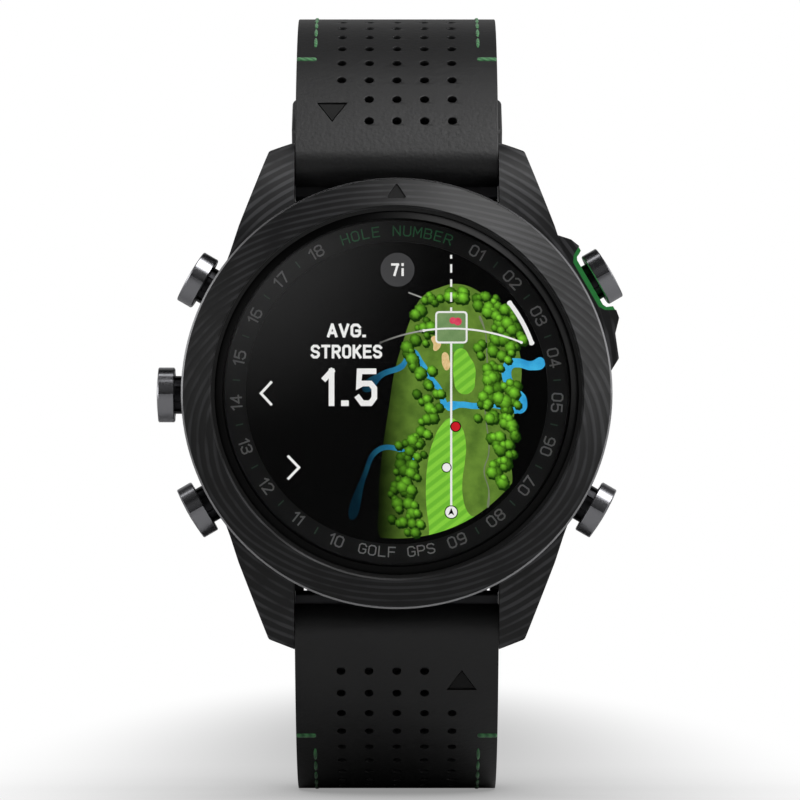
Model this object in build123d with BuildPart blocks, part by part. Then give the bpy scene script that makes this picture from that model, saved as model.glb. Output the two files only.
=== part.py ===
from build123d import *

import math
import os

# Round GPS sports watch with five push buttons and a two-piece strap, all sizes in millimetres.
# The origin is the centre of the sensor window's flat rear face, which rests on the wrist.
# -Y points out of the dial, +Z points to 12 o'clock and +X to 3 o'clock.
# A height h is measured from the wrist face towards the front, so y = -h.

# ---- driving dimensions -------------------------------------------------------------------
CASE_R = 22.6  # outer wall of the mid case
BEZEL_R = 23.0  # widest radius of the bezel
CAVITY_R = 19.2  # inside of the mid case
CASE_TOP_H = 10.9  # joint between mid case and bezel
CASE_BACK_H = 1.4  # rear rim of the mid case
GLASS_R = 19.35
GLASS_TOP_H = 14.35
GLASS_BOTTOM_H = 12.9
DIAL_RING_IN_R = 16.1
PANEL_TOP_H = 12.25
COVER_R = 19.6
COVER_FACE_H = 0.8
SEAT_H = 2.2  # ledge that the back cover sits on
LENS_R = 7.0

LUG_GAP = 22.0  # clear width between a pair of lugs
LUG_TIP_Z = 27.35
WEB_GAP = 20.5  # a low web beside the strap end closes the gap behind it
WEB_Z = 21.1
WEB_H = 2.9
SLOT_Z = 20.5  # flat of the case that faces the strap end
PIN_H = 4.2
PIN_Z = 25.0
PIN_R = 0.8
PIN_END_X = 12.4

BUTTON_H = 6.8
BUTTON_TRAVEL = 0.6
CAP_R = 2.95
STEM_R = 0.75
COLLAR_R = 2.05
SHANK_R = 1.55
SEAT_S = 22.3  # collar seat, measured from the dial axis along the button
GUARD_ANGLE = 30
GUARD_LOW_H, GUARD_TOP_H = 3.4, 9.9

STRAP_W = 21.8
STRAP_END_W = 20.0
STRAP_T = 2.8
LEATHER_T = 1.0
END_R = 3.0  # round end of the strap about the lug pin
FRONT_R = 29.8  # outer radius of the strap where it leaves the case
STRAP_TOP_Z = 43.1  # highest point of the loop
UPPER_REAR_R = 25.0
LOWER_REAR_R = 20.0
TAIL_TIP_Z = 6.6
BAR_DROP = 1.1  # from the end of the upper strap's curve down to the buckle bar
BAR_R = 0.75
FRAME_LENGTH = 12.6
HOLE_PITCH = 6.5
RUNNING_GAP = 0.05

FRONT = Plane.XZ  # normal towards the front, so an offset is a height h
SIDE = Plane.YZ
DIAL_SECTION = Plane(origin=(0, 0, 0), x_dir=(1, 0, 0), z_dir=(0, 0, -1))  # local (radius, h)

os.makedirs("parts", exist_ok=True)


def save(piece, name):
    """Labels a finished piece and writes its STEP file."""
    piece.label = name
    export_step(piece, f"parts/{name}.step")


def revolved(points):
    """A turned part about the dial axis, from its (radius, h) outline."""
    with BuildPart() as turned:
        with BuildSketch(DIAL_SECTION):
            with BuildLine():
                Polyline(*points, close=True)
            make_face()
        revolve(axis=Axis.Y)
    return turned


# ---- case ---------------------------------------------------------------------------------
def button_plane(angle):
    """Plane through a button's axis: local x runs outwards along the button, local y forwards."""
    a = math.radians(angle)
    return Plane(
        origin=(0, -BUTTON_H, 0), x_dir=(math.cos(a), 0, math.sin(a)), z_dir=(math.sin(a), 0, -math.cos(a))
    )


def face_plane(angle, h):
    """Plane parallel to the dial at height h, turned so that local x runs along a button."""
    a = math.radians(angle)
    return Plane(origin=(0, -h, 0), x_dir=(math.cos(a), 0, math.sin(a)), z_dir=(0, -1, 0))


BUTTONS = {  # name: (angle from 3 o'clock, extra reach beyond the others)
    "start_button": (30, 0.8),
    "back_button": (-30, 0.0),
    "light_button": (150, 0.0),
    "menu_button": (180, 0.0),
    "down_button": (210, 0.0),
}

LUG_OUTLINE = [
    (LUG_GAP / 2, 12.5),
    (LUG_GAP / 2, LUG_TIP_Z),
    (13.75, LUG_TIP_Z - 1.1),
    (16.9, 18.0),
    (17.8, 15.2),
    (18.8, 12.5),
]
LUG_SIDE = [(LUG_TIP_Z, 4.4), (26.7, 6.3), (24.6, 8.1), (21.5, 9.5), (18.0, 10.4), (14.0, 10.8)]
LUG_UNDERSIDE = [(14.0, CASE_BACK_H), (20.0, 1.2), (25.4, 1.0), (26.7, 2.2)]
GUARD_OUTLINE = [  # (along the button, across it)
    (20.6, 9.2),
    (22.6, 8.2),
    (23.0, 6.6),
    (24.45, 5.0),
    (24.85, 3.95),
    (24.85, -3.95),
    (24.7, -4.85),
    (23.5, -6.1),
    (22.5, -8.6),
    (20.6, -9.6),
]
NOTCH_OUTLINE = [(26.0, 4.5), (24.75, 3.9), (23.8, 3.35), (23.4, 2.7)]
LINER_INSIDE = [(26.0, 3.95), (24.9, 3.5), (24.1, 3.15), (23.9, 2.75)]


def both_sides(points):
    """Closes a half outline with its mirror image across local y = 0."""
    return points + [(x, -y) for x, y in reversed(points)]


with BuildPart() as mid_case:
    for x_sign in (1, -1):
        for z_sign in (1, -1):
            with BuildSketch(FRONT):
                with BuildLine():
                    Polyline(*[(x * x_sign, z * z_sign) for x, z in LUG_OUTLINE], close=True)
                make_face()
    extrude(amount=11)
    with BuildSketch(SIDE):
        with BuildLine():
            for z_sign in (1, -1):
                under = [(-h, z * z_sign) for z, h in LUG_UNDERSIDE]
                outer = [(-h, z * z_sign) for z, h in LUG_SIDE]
                Polyline(*under, outer[0])
                Spline(*outer)
            for z, h in (LUG_UNDERSIDE[0], LUG_SIDE[-1]):
                Line((-h, z), (-h, -z))
        make_face()
    extrude(amount=30, both=True, mode=Mode.INTERSECT)
    tip_edges = mid_case.edges().filter_by(Axis.Y).filter_by(lambda e: abs(e.center().Z) > 24)
    fillet(tip_edges.filter_by(lambda e: abs(e.center().X) > 12), radius=0.5)
    with BuildSketch(face_plane(GUARD_ANGLE, GUARD_LOW_H)) as guard_outline:
        with BuildLine():
            Polyline(*GUARD_OUTLINE, close=True)
        make_face()
        fillet(guard_outline.vertices(), radius=0.35)
    extrude(amount=GUARD_TOP_H - GUARD_LOW_H)
    with BuildSketch(DIAL_SECTION):
        with BuildLine():
            Polyline(
                (0, CASE_BACK_H),
                (20.9, CASE_BACK_H),
                (22.3, 3.4),
                (CASE_R, 4.2),
                (CASE_R, CASE_TOP_H),
                (0, CASE_TOP_H),
                close=True,
            )
        make_face()
    revolve(axis=Axis.Y)
    with BuildSketch(DIAL_SECTION):  # cavity, with the ledge that the back cover sits on
        with BuildLine():
            Polyline(
                (0, 0),
                (COVER_R + 0.1, 0),
                (COVER_R + 0.1, SEAT_H),
                (16.4, SEAT_H),
                (16.4, 3.6),
                (CAVITY_R, 3.6),
                (CAVITY_R, 12),
                (0, 12),
                close=True,
            )
        make_face()
    revolve(axis=Axis.Y, mode=Mode.SUBTRACT)
    with BuildSketch(FRONT):  # room for the strap ends between the lugs
        with Locations((0, SLOT_Z + 5), (0, -SLOT_Z - 5)):
            Rectangle(LUG_GAP, 10)
    extrude(amount=CASE_TOP_H, mode=Mode.SUBTRACT)
    with BuildSketch(FRONT.offset(1.6)):
        web_width = (LUG_GAP - WEB_GAP) / 2
        web_x = LUG_GAP / 2 - web_width / 2
        web_low = 18.5
        with Locations(*[(web_x * i, (WEB_Z + web_low) / 2 * j) for i in (1, -1) for j in (1, -1)]):
            Rectangle(web_width + 0.4, WEB_Z - web_low)
    extrude(amount=WEB_H - 1.6)
    with BuildSketch(face_plane(GUARD_ANGLE, GUARD_LOW_H)):
        with BuildLine():
            Polyline(*both_sides(NOTCH_OUTLINE), close=True)
        make_face()
    extrude(amount=GUARD_TOP_H - GUARD_LOW_H, mode=Mode.SUBTRACT)
    for angle, _ in BUTTONS.values():
        bore_plane = Plane(origin=(0, -BUTTON_H, 0), z_dir=button_plane(angle).x_dir)
        with BuildSketch(bore_plane.offset(17)):
            Circle(SHANK_R)
        extrude(amount=8, mode=Mode.SUBTRACT)
        with BuildSketch(bore_plane.offset(SEAT_S)):
            Circle(COLLAR_R + 0.1)
        extrude(amount=3, mode=Mode.SUBTRACT)
    with BuildSketch(SIDE):
        with Locations((-PIN_H, PIN_Z), (-PIN_H, -PIN_Z)):
            Circle(PIN_R)
    extrude(amount=PIN_END_X, both=True, mode=Mode.SUBTRACT)
    with BuildSketch(FRONT.offset(SEAT_H)):  # back screws
        with PolarLocations(18.1, 4, start_angle=45):
            Circle(0.5)
    extrude(amount=1.2, mode=Mode.SUBTRACT)
    with BuildSketch(FRONT.offset(SEAT_H)):  # groove for the back gasket
        Circle(17.4)
        Circle(16.8, mode=Mode.SUBTRACT)
    extrude(amount=0.4, mode=Mode.SUBTRACT)
save(mid_case.part, "mid_case")

with BuildPart() as button_guard:
    with BuildSketch(face_plane(GUARD_ANGLE, GUARD_LOW_H)):
        with BuildLine():
            Polyline(*both_sides(NOTCH_OUTLINE[1:]), close=True)
        make_face()
        with BuildLine():
            Polyline(*both_sides(LINER_INSIDE), close=True)
        make_face(mode=Mode.SUBTRACT)
    extrude(amount=GUARD_TOP_H - GUARD_LOW_H)
    with BuildSketch(Plane(origin=(0, -BUTTON_H, 0), z_dir=button_plane(GUARD_ANGLE).x_dir).offset(20)):
        Circle(COLLAR_R + 0.15)
    extrude(amount=5, mode=Mode.SUBTRACT)
save(button_guard.part, "button_guard_liner")

SLOPE_FOOT = (22.78, 12.62)
SLOPE_HEAD = (19.95, 14.3)
bezel = revolved(
    [
        (CAVITY_R - 0.1, 10.1),
        (CAVITY_R - 0.1, CASE_TOP_H),
        (BEZEL_R - 0.15, CASE_TOP_H),
        (BEZEL_R, CASE_TOP_H + 0.2),
        (BEZEL_R, 12.35),
        SLOPE_FOOT,
        SLOPE_HEAD,
        (19.75, 14.2),
        (19.75, GLASS_BOTTOM_H),
        (18.4, GLASS_BOTTOM_H),
        (18.4, 10.1),
    ]
)
slope_angle = math.degrees(math.atan2(SLOPE_HEAD[1] - SLOPE_FOOT[1], SLOPE_FOOT[0] - SLOPE_HEAD[0]))
marker_r = (SLOPE_FOOT[0] + SLOPE_HEAD[0]) / 2
marker_plane = Plane(
    origin=(0, -(SLOPE_FOOT[1] + SLOPE_HEAD[1]) / 2, marker_r),
    x_dir=(1, 0, 0),
    z_dir=(0, -math.cos(math.radians(slope_angle)), math.sin(math.radians(slope_angle))),
)


def marker_prism(size, low, high):
    """Rounded triangle on the bezel's slope at 12 o'clock, from depth low to depth high."""
    with BuildPart() as prism:
        with BuildSketch(marker_plane.offset(low)) as outline:
            with Locations((0, -0.1)):
                Triangle(a=2.2 * size, b=2.3 * size, c=2.3 * size)
            fillet(outline.vertices(), radius=0.16)
        extrude(amount=high - low)
    return prism.part


with BuildPart() as bezel_cut:
    add(bezel.part)
    add(marker_prism(1.0, -0.35, 1.0), mode=Mode.SUBTRACT)
save(bezel_cut.part, "bezel")
save(marker_prism(0.99, -0.35, -0.12), "bezel_marker")

crystal = revolved(
    [
        (0, GLASS_BOTTOM_H),
        (GLASS_R, GLASS_BOTTOM_H),
        (GLASS_R, 13.85),
        (18.55, GLASS_TOP_H),
        (0, GLASS_TOP_H),
    ]
)
save(crystal.part, "crystal")

crystal_gasket = revolved([(GLASS_R, GLASS_BOTTOM_H), (19.75, GLASS_BOTTOM_H), (19.75, 13.9), (GLASS_R, 13.8)])
save(crystal_gasket.part, "crystal_gasket")

dial_ring = revolved([(DIAL_RING_IN_R, 12.3), (18.35, 12.3), (18.35, 12.85), (DIAL_RING_IN_R, 12.85)])
save(dial_ring.part, "dial_ring")

display_panel = revolved([(0, 11.2), (17.3, 11.2), (17.3, PANEL_TOP_H), (0, PANEL_TOP_H)])
save(display_panel.part, "display_panel")

with BuildPart() as display_bracket:
    with BuildSketch(FRONT.offset(10.85)):
        Circle(18.2)
        Rectangle(20, 12, mode=Mode.SUBTRACT)
    extrude(amount=0.3)
save(display_bracket.part, "display_bracket")

gps_antenna = revolved([(17.2, 9.3), (18.2, 9.3), (18.2, 10.8), (17.2, 10.8)])
save(gps_antenna.part, "gps_antenna")

with BuildPart() as main_board:
    with BuildSketch(FRONT.offset(9.9)):
        Circle(16.6)
        with Locations((0, 16.6), (0, -16.6)):
            Rectangle(5, 2.4, mode=Mode.SUBTRACT)
    extrude(amount=0.8)
save(main_board.part, "main_board")

with BuildPart() as processor_shield:
    with BuildSketch(FRONT.offset(8.6)) as shields:
        with Locations((-5.5, 3)):
            Rectangle(12, 11)
        with Locations((7.5, 3)):
            Rectangle(9, 11)
        fillet(shields.vertices(), radius=0.8)
    extrude(amount=1.3)
save(processor_shield.part, "processor_shields")

BATTERY_W, BATTERY_L = 22.0, 18.0
MOTOR_Z, MOTOR_R = -12.6, 3.0
with BuildPart() as inner_chassis:
    with BuildSketch(FRONT.offset(3.7)):
        Circle(16.3)
        Rectangle(BATTERY_W + 0.4, BATTERY_L + 0.4, mode=Mode.SUBTRACT)
        with Locations((0, MOTOR_Z)):
            Circle(MOTOR_R + 0.15, mode=Mode.SUBTRACT)
    extrude(amount=4.6)
save(inner_chassis.part, "inner_chassis")

with BuildPart() as battery:
    with BuildSketch(FRONT.offset(3.9)) as cell:
        Rectangle(BATTERY_W, BATTERY_L)
        fillet(cell.vertices(), radius=1.5)
    extrude(amount=4.3)
save(battery.part, "battery")

with BuildPart() as vibration_motor:
    with BuildSketch(FRONT.offset(4.2)):
        with Locations((0, MOTOR_Z)):
            Circle(MOTOR_R)
    extrude(amount=2.6)
save(vibration_motor.part, "vibration_motor")

# ---- back ---------------------------------------------------------------------------------
PORT_Z = -12.4
with BuildPart() as back_cover:
    with BuildSketch(DIAL_SECTION):
        with BuildLine():
            Polyline((0, COVER_FACE_H), (18.6, COVER_FACE_H), (COVER_R, 1.5), (COVER_R, SEAT_H), (0, SEAT_H), close=True)
        make_face()
    revolve(axis=Axis.Y)
    with BuildSketch(DIAL_SECTION):  # seat for the sensor window
        with BuildLine():
            Polyline((0, 0), (LENS_R + 0.05, 0), (LENS_R + 0.05, 1.6), (6.2, 1.6), (6.2, 3), (0, 3), close=True)
        make_face()
    revolve(axis=Axis.Y, mode=Mode.SUBTRACT)
    with BuildSketch(FRONT) as port_hole:
        with Locations((0, PORT_Z)):
            Rectangle(9.4, 4.4)
        fillet(port_hole.vertices(), radius=1.0)
    extrude(amount=4, mode=Mode.SUBTRACT)
    with Locations(FRONT.offset(COVER_FACE_H)):
        with PolarLocations(18.1, 4, start_angle=45):
            Hole(radius=0.6, depth=4)
    with BuildSketch(FRONT):
        with PolarLocations(18.1, 4, start_angle=45):
            Circle(1.05)
    extrude(amount=1.5, mode=Mode.SUBTRACT)
    with BuildSketch(FRONT.offset(COVER_FACE_H - 0.2)):  # turned groove round the window
        Circle(9.4)
        Circle(9.1, mode=Mode.SUBTRACT)
    extrude(amount=0.35, mode=Mode.SUBTRACT)
save(back_cover.part, "back_cover")

back_gasket = revolved([(16.8, SEAT_H), (17.4, SEAT_H), (17.4, SEAT_H + 0.4), (16.8, SEAT_H + 0.4)])
save(back_gasket.part, "back_gasket")

with BuildPart() as back_screws:
    with BuildSketch(FRONT.offset(0.9)):
        with PolarLocations(18.1, 4, start_angle=45):
            Circle(1.0)
    extrude(amount=0.6)
    with BuildSketch(FRONT.offset(1.5)):
        with PolarLocations(18.1, 4, start_angle=45):
            Circle(0.5)
    extrude(amount=1.9)
    with BuildSketch(FRONT.offset(0.9)):
        with PolarLocations(18.1, 4, start_angle=45):
            RegularPolygon(radius=0.5, side_count=6)
    extrude(amount=0.35, mode=Mode.SUBTRACT)
save(back_screws.part, "back_screws")

sensor_window = revolved([(0, 0), (5.6, 0), (6.6, 0.25), (LENS_R, 0.7), (LENS_R, 1.6), (0, 1.6)])
save(sensor_window.part, "sensor_window")

with BuildPart() as sensor_board:
    with BuildSketch(FRONT.offset(2.5)):
        Circle(6.0)
    extrude(amount=0.7)
    with BuildSketch(FRONT.offset(1.8)):
        with Locations((0, 0)):
            Rectangle(2.2, 2.2)
        with PolarLocations(3.4, 4, start_angle=45):
            Rectangle(1.4, 1.4)
    extrude(amount=0.7)
save(sensor_board.part, "sensor_board")

CONTACT_X = [-3.0, -1.0, 1.0, 3.0]
with BuildPart() as charging_socket:
    with BuildSketch(FRONT.offset(1.3)) as socket:
        with Locations((0, PORT_Z)):
            Rectangle(9.4, 4.4)
        fillet(socket.vertices(), radius=1.0)
    extrude(amount=1.9)
    with BuildSketch(FRONT.offset(1.3)):
        with Locations(*[(x, PORT_Z) for x in CONTACT_X]):
            Circle(0.5)
    extrude(amount=1.9, mode=Mode.SUBTRACT)
save(charging_socket.part, "charging_socket")

with BuildPart() as charging_contacts:
    with BuildSketch(FRONT.offset(1.2)):
        with Locations(*[(x, PORT_Z) for x in CONTACT_X]):
            Circle(0.5)
    extrude(amount=2.2)
save(charging_contacts.part, "charging_contacts")

with BuildPart() as lug_pins:
    with BuildSketch(SIDE):
        with Locations((-PIN_H, PIN_Z), (-PIN_H, -PIN_Z)):
            Circle(PIN_R)
    extrude(amount=PIN_END_X, both=True)
save(lug_pins.part, "lug_pins")


# ---- buttons ------------------------------------------------------------------------------
CLIP_S = 19.15
CAP_INNER_S = 23.82
CAP_DEPTH = 1.2
CAP_OUTER_S = 25.78
SPRING_FLOOR_S = 22.9


def turned_on_button(angle, points):
    """A turned part about a button's axis, from its (distance from the dial axis, radius) outline."""
    plane = button_plane(angle)
    with BuildPart() as turned:
        with BuildSketch(plane):
            with BuildLine():
                Polyline(*points, close=True)
            make_face()
        revolve(axis=Axis(plane.origin, plane.x_dir))
    return turned


def push_button(angle, reach):
    """Cap and stem in one piece, with the groove for its retaining clip."""
    skirt, roof, face = CAP_INNER_S + reach, CAP_INNER_S + CAP_DEPTH + reach, CAP_OUTER_S + reach
    return turned_on_button(
        angle,
        [
            (18.7, 0),
            (18.7, STEM_R),
            (CLIP_S, STEM_R),
            (CLIP_S, 0.55),
            (CLIP_S + 0.2, 0.55),
            (CLIP_S + 0.2, STEM_R),
            (roof, STEM_R),
            (roof, 2.3),
            (skirt, 2.3),
            (skirt, CAP_R - 0.12),
            (skirt + 0.12, CAP_R),
            (face - 0.26, CAP_R),
            (face - 0.17, CAP_R - 0.09),
            (face - 0.06, CAP_R - 1.2),
            (face, CAP_R - 2.2),
            (face, 0),
        ],
    ).part


def button_collar(angle, reach):
    """Fixed guide tube: its flange is notched for the fitting tool, its shank sits in the case wall."""
    turned = turned_on_button(
        angle,
        [
            (19.4, 1.2),
            (19.4, SHANK_R),
            (SEAT_S, SHANK_R),
            (SEAT_S, COLLAR_R),
            (24.2 + reach, COLLAR_R),
            (24.2 + reach, 1.6),
            (SPRING_FLOOR_S, 1.6),
            (SPRING_FLOOR_S, STEM_R + RUNNING_GAP),
            (20.2, STEM_R + RUNNING_GAP),
            (20.2, 1.2),
        ],
    )
    with BuildPart() as collar:
        add(turned.part)
        with BuildSketch(Plane(origin=(0, -BUTTON_H, 0), z_dir=button_plane(angle).x_dir).offset(SEAT_S + 0.35)):
            with PolarLocations(COLLAR_R, 10):
                Rectangle(0.36, 0.5)
        extrude(amount=4, mode=Mode.SUBTRACT)
    return collar.part


def button_seal(angle):
    """O-ring between stem and shank."""
    plane = button_plane(angle)
    with BuildPart() as seal:
        with BuildSketch(plane):
            with Locations((19.8, 0.985)):
                Circle(0.2)
        revolve(axis=Axis(plane.origin, plane.x_dir))
    return seal.part


def button_clip(angle):
    """Retaining ring, open on one side, that snaps into the stem's groove."""
    turned = turned_on_button(
        angle, [(CLIP_S + 0.02, 0.56), (CLIP_S + 0.18, 0.56), (CLIP_S + 0.18, 1.25), (CLIP_S + 0.02, 1.25)]
    )
    plane = button_plane(angle)
    with BuildPart() as ring:
        add(turned.part)
        with BuildSketch(Plane(origin=(0, -BUTTON_H, 0), x_dir=(0, -1, 0), z_dir=plane.x_dir).offset(CLIP_S - 0.5)):
            with Locations((1, 0)):
                Rectangle(2, 0.8)
        extrude(amount=1.2, mode=Mode.SUBTRACT)
    return ring.part


def button_spring(angle, reach):
    """Coil spring between the collar's floor and the underside of the cap."""
    wire_r = 0.13
    outwards = button_plane(angle).x_dir
    low = SPRING_FLOOR_S + wire_r + 0.02
    high = CAP_INNER_S + CAP_DEPTH + reach - wire_r - 0.02
    start = Vector(0, -BUTTON_H, 0) + outwards * low
    with BuildPart() as coil:
        with BuildLine() as line:
            Helix(pitch=(high - low) / 3, height=high - low, radius=1.2, center=start, direction=outwards)
        with BuildSketch(Plane(origin=line.line @ 0, z_dir=line.line % 0)):
            Circle(wire_r)
        sweep(path=line.line, is_frenet=True)
    return coil.part


def gathered(pieces):
    """Several separate solids that share one node."""
    with BuildPart() as group:
        for piece in pieces:
            add(piece)
    return group.part


for button_name, (angle, reach) in BUTTONS.items():
    save(push_button(angle, reach), button_name)
    save(button_spring(angle, reach), f"{button_name}_spring")
    save(button_clip(angle), f"{button_name}_clip")
save(gathered([button_collar(angle, reach) for angle, reach in BUTTONS.values()]), "button_collars")
save(gathered([button_seal(angle) for angle, _ in BUTTONS.values()]), "button_seals")

with BuildPart() as button_switches:
    for angle, _ in BUTTONS.values():
        plane = button_plane(angle)
        with BuildSketch(Plane(origin=(0, -BUTTON_H, 0), x_dir=(0, -1, 0), z_dir=plane.x_dir).offset(16.7)):
            Rectangle(2.6, 3.2)
        extrude(amount=1.0)
        with BuildSketch(Plane(origin=(0, -BUTTON_H, 0), z_dir=plane.x_dir).offset(17.7)):
            Circle(0.6)
        extrude(amount=0.35)
save(button_switches.part, "button_switches")

# ---- strap --------------------------------------------------------------------------------
# The strap's outer face is two arcs in the YZ plane and a straight end, tangent to its round end
# about the lug pin. A direction is an angle from the front (0) over the top (90) to the rear (180).
FRONT_CENTRE_Z = STRAP_TOP_Z - FRONT_R
centre_gap = math.sqrt((FRONT_R - END_R) ** 2 - (PIN_Z - FRONT_CENTRE_Z) ** 2)
CURVE_Y = centre_gap - PIN_H  # y of both arcs' centres
LEAVE_ANGLE = math.degrees(math.atan2(PIN_Z - FRONT_CENTRE_Z, centre_gap))
WRAP_ANGLE = -60  # where the leather ends on the round end, facing the case


def on_arc(centre_y, centre_z, radius, angle):
    """Point on an arc in the YZ plane, as (y, z)."""
    a = math.radians(angle)
    return (centre_y - radius * math.cos(a), centre_z + radius * math.sin(a))


def strap_path(rear_r, end_z, depth):
    """Points and mid points of the strap's line at a depth below its outer face, from pin to end."""
    rear_z = STRAP_TOP_Z - rear_r
    front, rear = FRONT_R - depth, rear_r - depth
    return {
        "leave": on_arc(CURVE_Y, FRONT_CENTRE_Z, front, LEAVE_ANGLE),
        "front_mid": on_arc(CURVE_Y, FRONT_CENTRE_Z, front, (LEAVE_ANGLE + 90) / 2),
        "top": on_arc(CURVE_Y, FRONT_CENTRE_Z, front, 90),
        "rear_mid": on_arc(CURVE_Y, rear_z, rear, 135),
        "rear": on_arc(CURVE_Y, rear_z, rear, 180),
        "end": (CURVE_Y + rear, end_z),
    }


def band_outline(rear_r, end_z, outer_depth, inner_depth, wrap):
    """Side view of one strap layer between two depths, with or without its wrap round the lug end."""
    outer, inner = strap_path(rear_r, end_z, outer_depth), strap_path(rear_r, end_z, inner_depth)
    with BuildSketch(SIDE) as outline:
        with BuildLine():
            for path in (outer, inner):
                ThreePointArc(path["leave"], path["front_mid"], path["top"])
                ThreePointArc(path["top"], path["rear_mid"], path["rear"])
                Line(path["rear"], path["end"])
            Line(outer["end"], inner["end"])
            if wrap:
                wrap_ends = []
                for depth in (outer_depth, inner_depth):
                    start = on_arc(-PIN_H, PIN_Z, END_R - depth, WRAP_ANGLE)
                    middle = on_arc(-PIN_H, PIN_Z, END_R - depth, (WRAP_ANGLE + LEAVE_ANGLE) / 2)
                    end = on_arc(-PIN_H, PIN_Z, END_R - depth, LEAVE_ANGLE)
                    ThreePointArc(start, middle, end)
                    wrap_ends.append(start)
                Line(*wrap_ends)
            else:
                Line(outer["leave"], inner["leave"])
        make_face()
    return outline.sketch


def wedge_points(rear_r, end_z):
    """Tangent point on the rubber's round end, and the point where its thick end meets the band."""
    join = on_arc(CURVE_Y, FRONT_CENTRE_Z, FRONT_R - STRAP_T, 50)
    radius = END_R - LEATHER_T
    to_join = Vector(join[0] + PIN_H, join[1] - PIN_Z)
    lean = math.acos(radius / to_join.length)
    heading = math.atan2(to_join.Y, to_join.X) - lean
    touch = (-PIN_H + radius * math.cos(heading), PIN_Z + radius * math.sin(heading))
    return touch, join


def plan_outline(width_scale=1.0):
    """The strap's outline from above: full width to the top of the loop, then a taper."""
    half, end_half = STRAP_W / 2 * width_scale, STRAP_END_W / 2 * width_scale
    with BuildSketch(Plane.XY.offset(-60)) as outline:
        with BuildLine():
            right = [(half, -10), (half, CURVE_Y), (end_half, 42), (end_half, 60)]
            Polyline(*right, *[(-x, y) for x, y in reversed(right)], close=True)
        make_face()
    return outline.sketch


def strap_leather(rear_r, end_z):
    """Outer layer, which wraps round the lug end."""
    with BuildPart() as layer:
        extrude(band_outline(rear_r, end_z, 0, LEATHER_T, wrap=True), amount=15, both=True)
        extrude(plan_outline(0.985), amount=120, mode=Mode.INTERSECT)
    return layer.part


FITTING_HALF = STRAP_W / 2
TUBE_R = 1.35
latch_touch, latch_join = wedge_points(UPPER_REAR_R, 0)
latch_run = Vector(latch_join[0] - latch_touch[0], latch_join[1] - latch_touch[1])
latch_dir = Vector(0, latch_run.X, latch_run.Y).normalized()
latch_mid = Vector(0, latch_touch[0], latch_touch[1]) + latch_dir * (latch_run.length * 0.42)
LATCH_PLANE = Plane(origin=latch_mid, x_dir=(1, 0, 0), z_dir=latch_dir.cross(Vector(1, 0, 0)))
LATCH_TRAVEL = 1.2


def strap_base(rear_r, end_z):
    """Rubber layer with a thick lug end, a bore for the end fitting and a recess for its latch."""
    touch, join = wedge_points(rear_r, end_z)
    with BuildPart() as layer:
        extrude(band_outline(rear_r, end_z, LEATHER_T, STRAP_T, wrap=False), amount=15, both=True)
        with BuildSketch(SIDE):
            with Locations((-PIN_H, PIN_Z)):
                Circle(END_R - LEATHER_T)
            with BuildLine():
                leave = strap_path(rear_r, end_z, LEATHER_T)["leave"]
                back = on_arc(CURVE_Y, FRONT_CENTRE_Z, FRONT_R - STRAP_T + 0.6, 50)
                Polyline((-PIN_H, PIN_Z), leave, back, join, touch, close=True)
            make_face()
        extrude(amount=15, both=True)
        extrude(plan_outline(), amount=120, mode=Mode.INTERSECT)
        with BuildSketch(SIDE):
            with Locations((-PIN_H, PIN_Z)):
                Circle(TUBE_R)
        extrude(amount=FITTING_HALF, both=True, mode=Mode.SUBTRACT)
        with BuildSketch(SIDE):
            with Locations((-PIN_H, PIN_Z)):
                Circle(PIN_R + 0.15)
        extrude(amount=15, both=True, mode=Mode.SUBTRACT)
        with BuildSketch(SIDE):
            with Locations((-PIN_H, PIN_Z - 3)):
                Rectangle(2.1, 6)
        extrude(amount=FITTING_HALF, both=True, mode=Mode.SUBTRACT)
        with BuildSketch(LATCH_PLANE):
            Rectangle(8.6, 5.6)
        extrude(amount=-1.0, mode=Mode.SUBTRACT)
    return layer.part


def end_fitting():
    """Metal tube on the lug pin, with a nose that closes the gap to the case."""
    with BuildPart() as fitting:
        with BuildSketch(SIDE):
            with Locations((-PIN_H, PIN_Z)):
                Circle(TUBE_R)
            with Locations((-PIN_H, PIN_Z - 2)):
                Rectangle(1.9, 4)
            with Locations((-PIN_H, PIN_Z)):
                Circle(PIN_R + RUNNING_GAP, mode=Mode.SUBTRACT)
        extrude(amount=FITTING_HALF + RUNNING_GAP / 2, both=True)
        nose_edges = fitting.edges().filter_by(Axis.X).group_by(Axis.Z)[0]
        fillet(nose_edges, radius=0.6)
    return fitting.part


def latch():
    """Sliding latch on the wrist side, with a ridge for the thumb."""
    with BuildPart() as slider:
        with BuildSketch(LATCH_PLANE.offset(-0.95)):
            with Locations((0, -(5.6 - 4.2) / 2 + 0.1)):
                Rectangle(8.2, 4.0)
        extrude(amount=0.85)
        with BuildSketch(LATCH_PLANE.offset(-0.1)):
            with Locations((0, -1.6), (0, -0.6), (0, 0.4)):
                Rectangle(6.4, 0.45)
        extrude(amount=0.45)
    return slider.part


def mirrored(piece):
    """The same piece on the 6 o'clock side."""
    return piece.mirror(Plane.XY)


BAR_Z = STRAP_TOP_Z - UPPER_REAR_R - BAR_DROP
BAR_Y = CURVE_Y + UPPER_REAR_R - STRAP_T / 2
SLOT_W = 3.4


def buckle_end(strap_layer):
    """Bores a layer's free end for the buckle bar and slots it for the tongue."""
    with BuildPart() as layer:
        add(strap_layer)
        with BuildSketch(SIDE):
            with Locations((BAR_Y, BAR_Z)):
                Circle(BAR_R)
        extrude(amount=15, both=True, mode=Mode.SUBTRACT)
        with BuildSketch(Plane.XZ.offset(-(BAR_Y + 4))):
            with Locations((0, BAR_Z)):
                Rectangle(SLOT_W, 6.4)
        extrude(amount=8, mode=Mode.SUBTRACT)
    return layer.part


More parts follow.
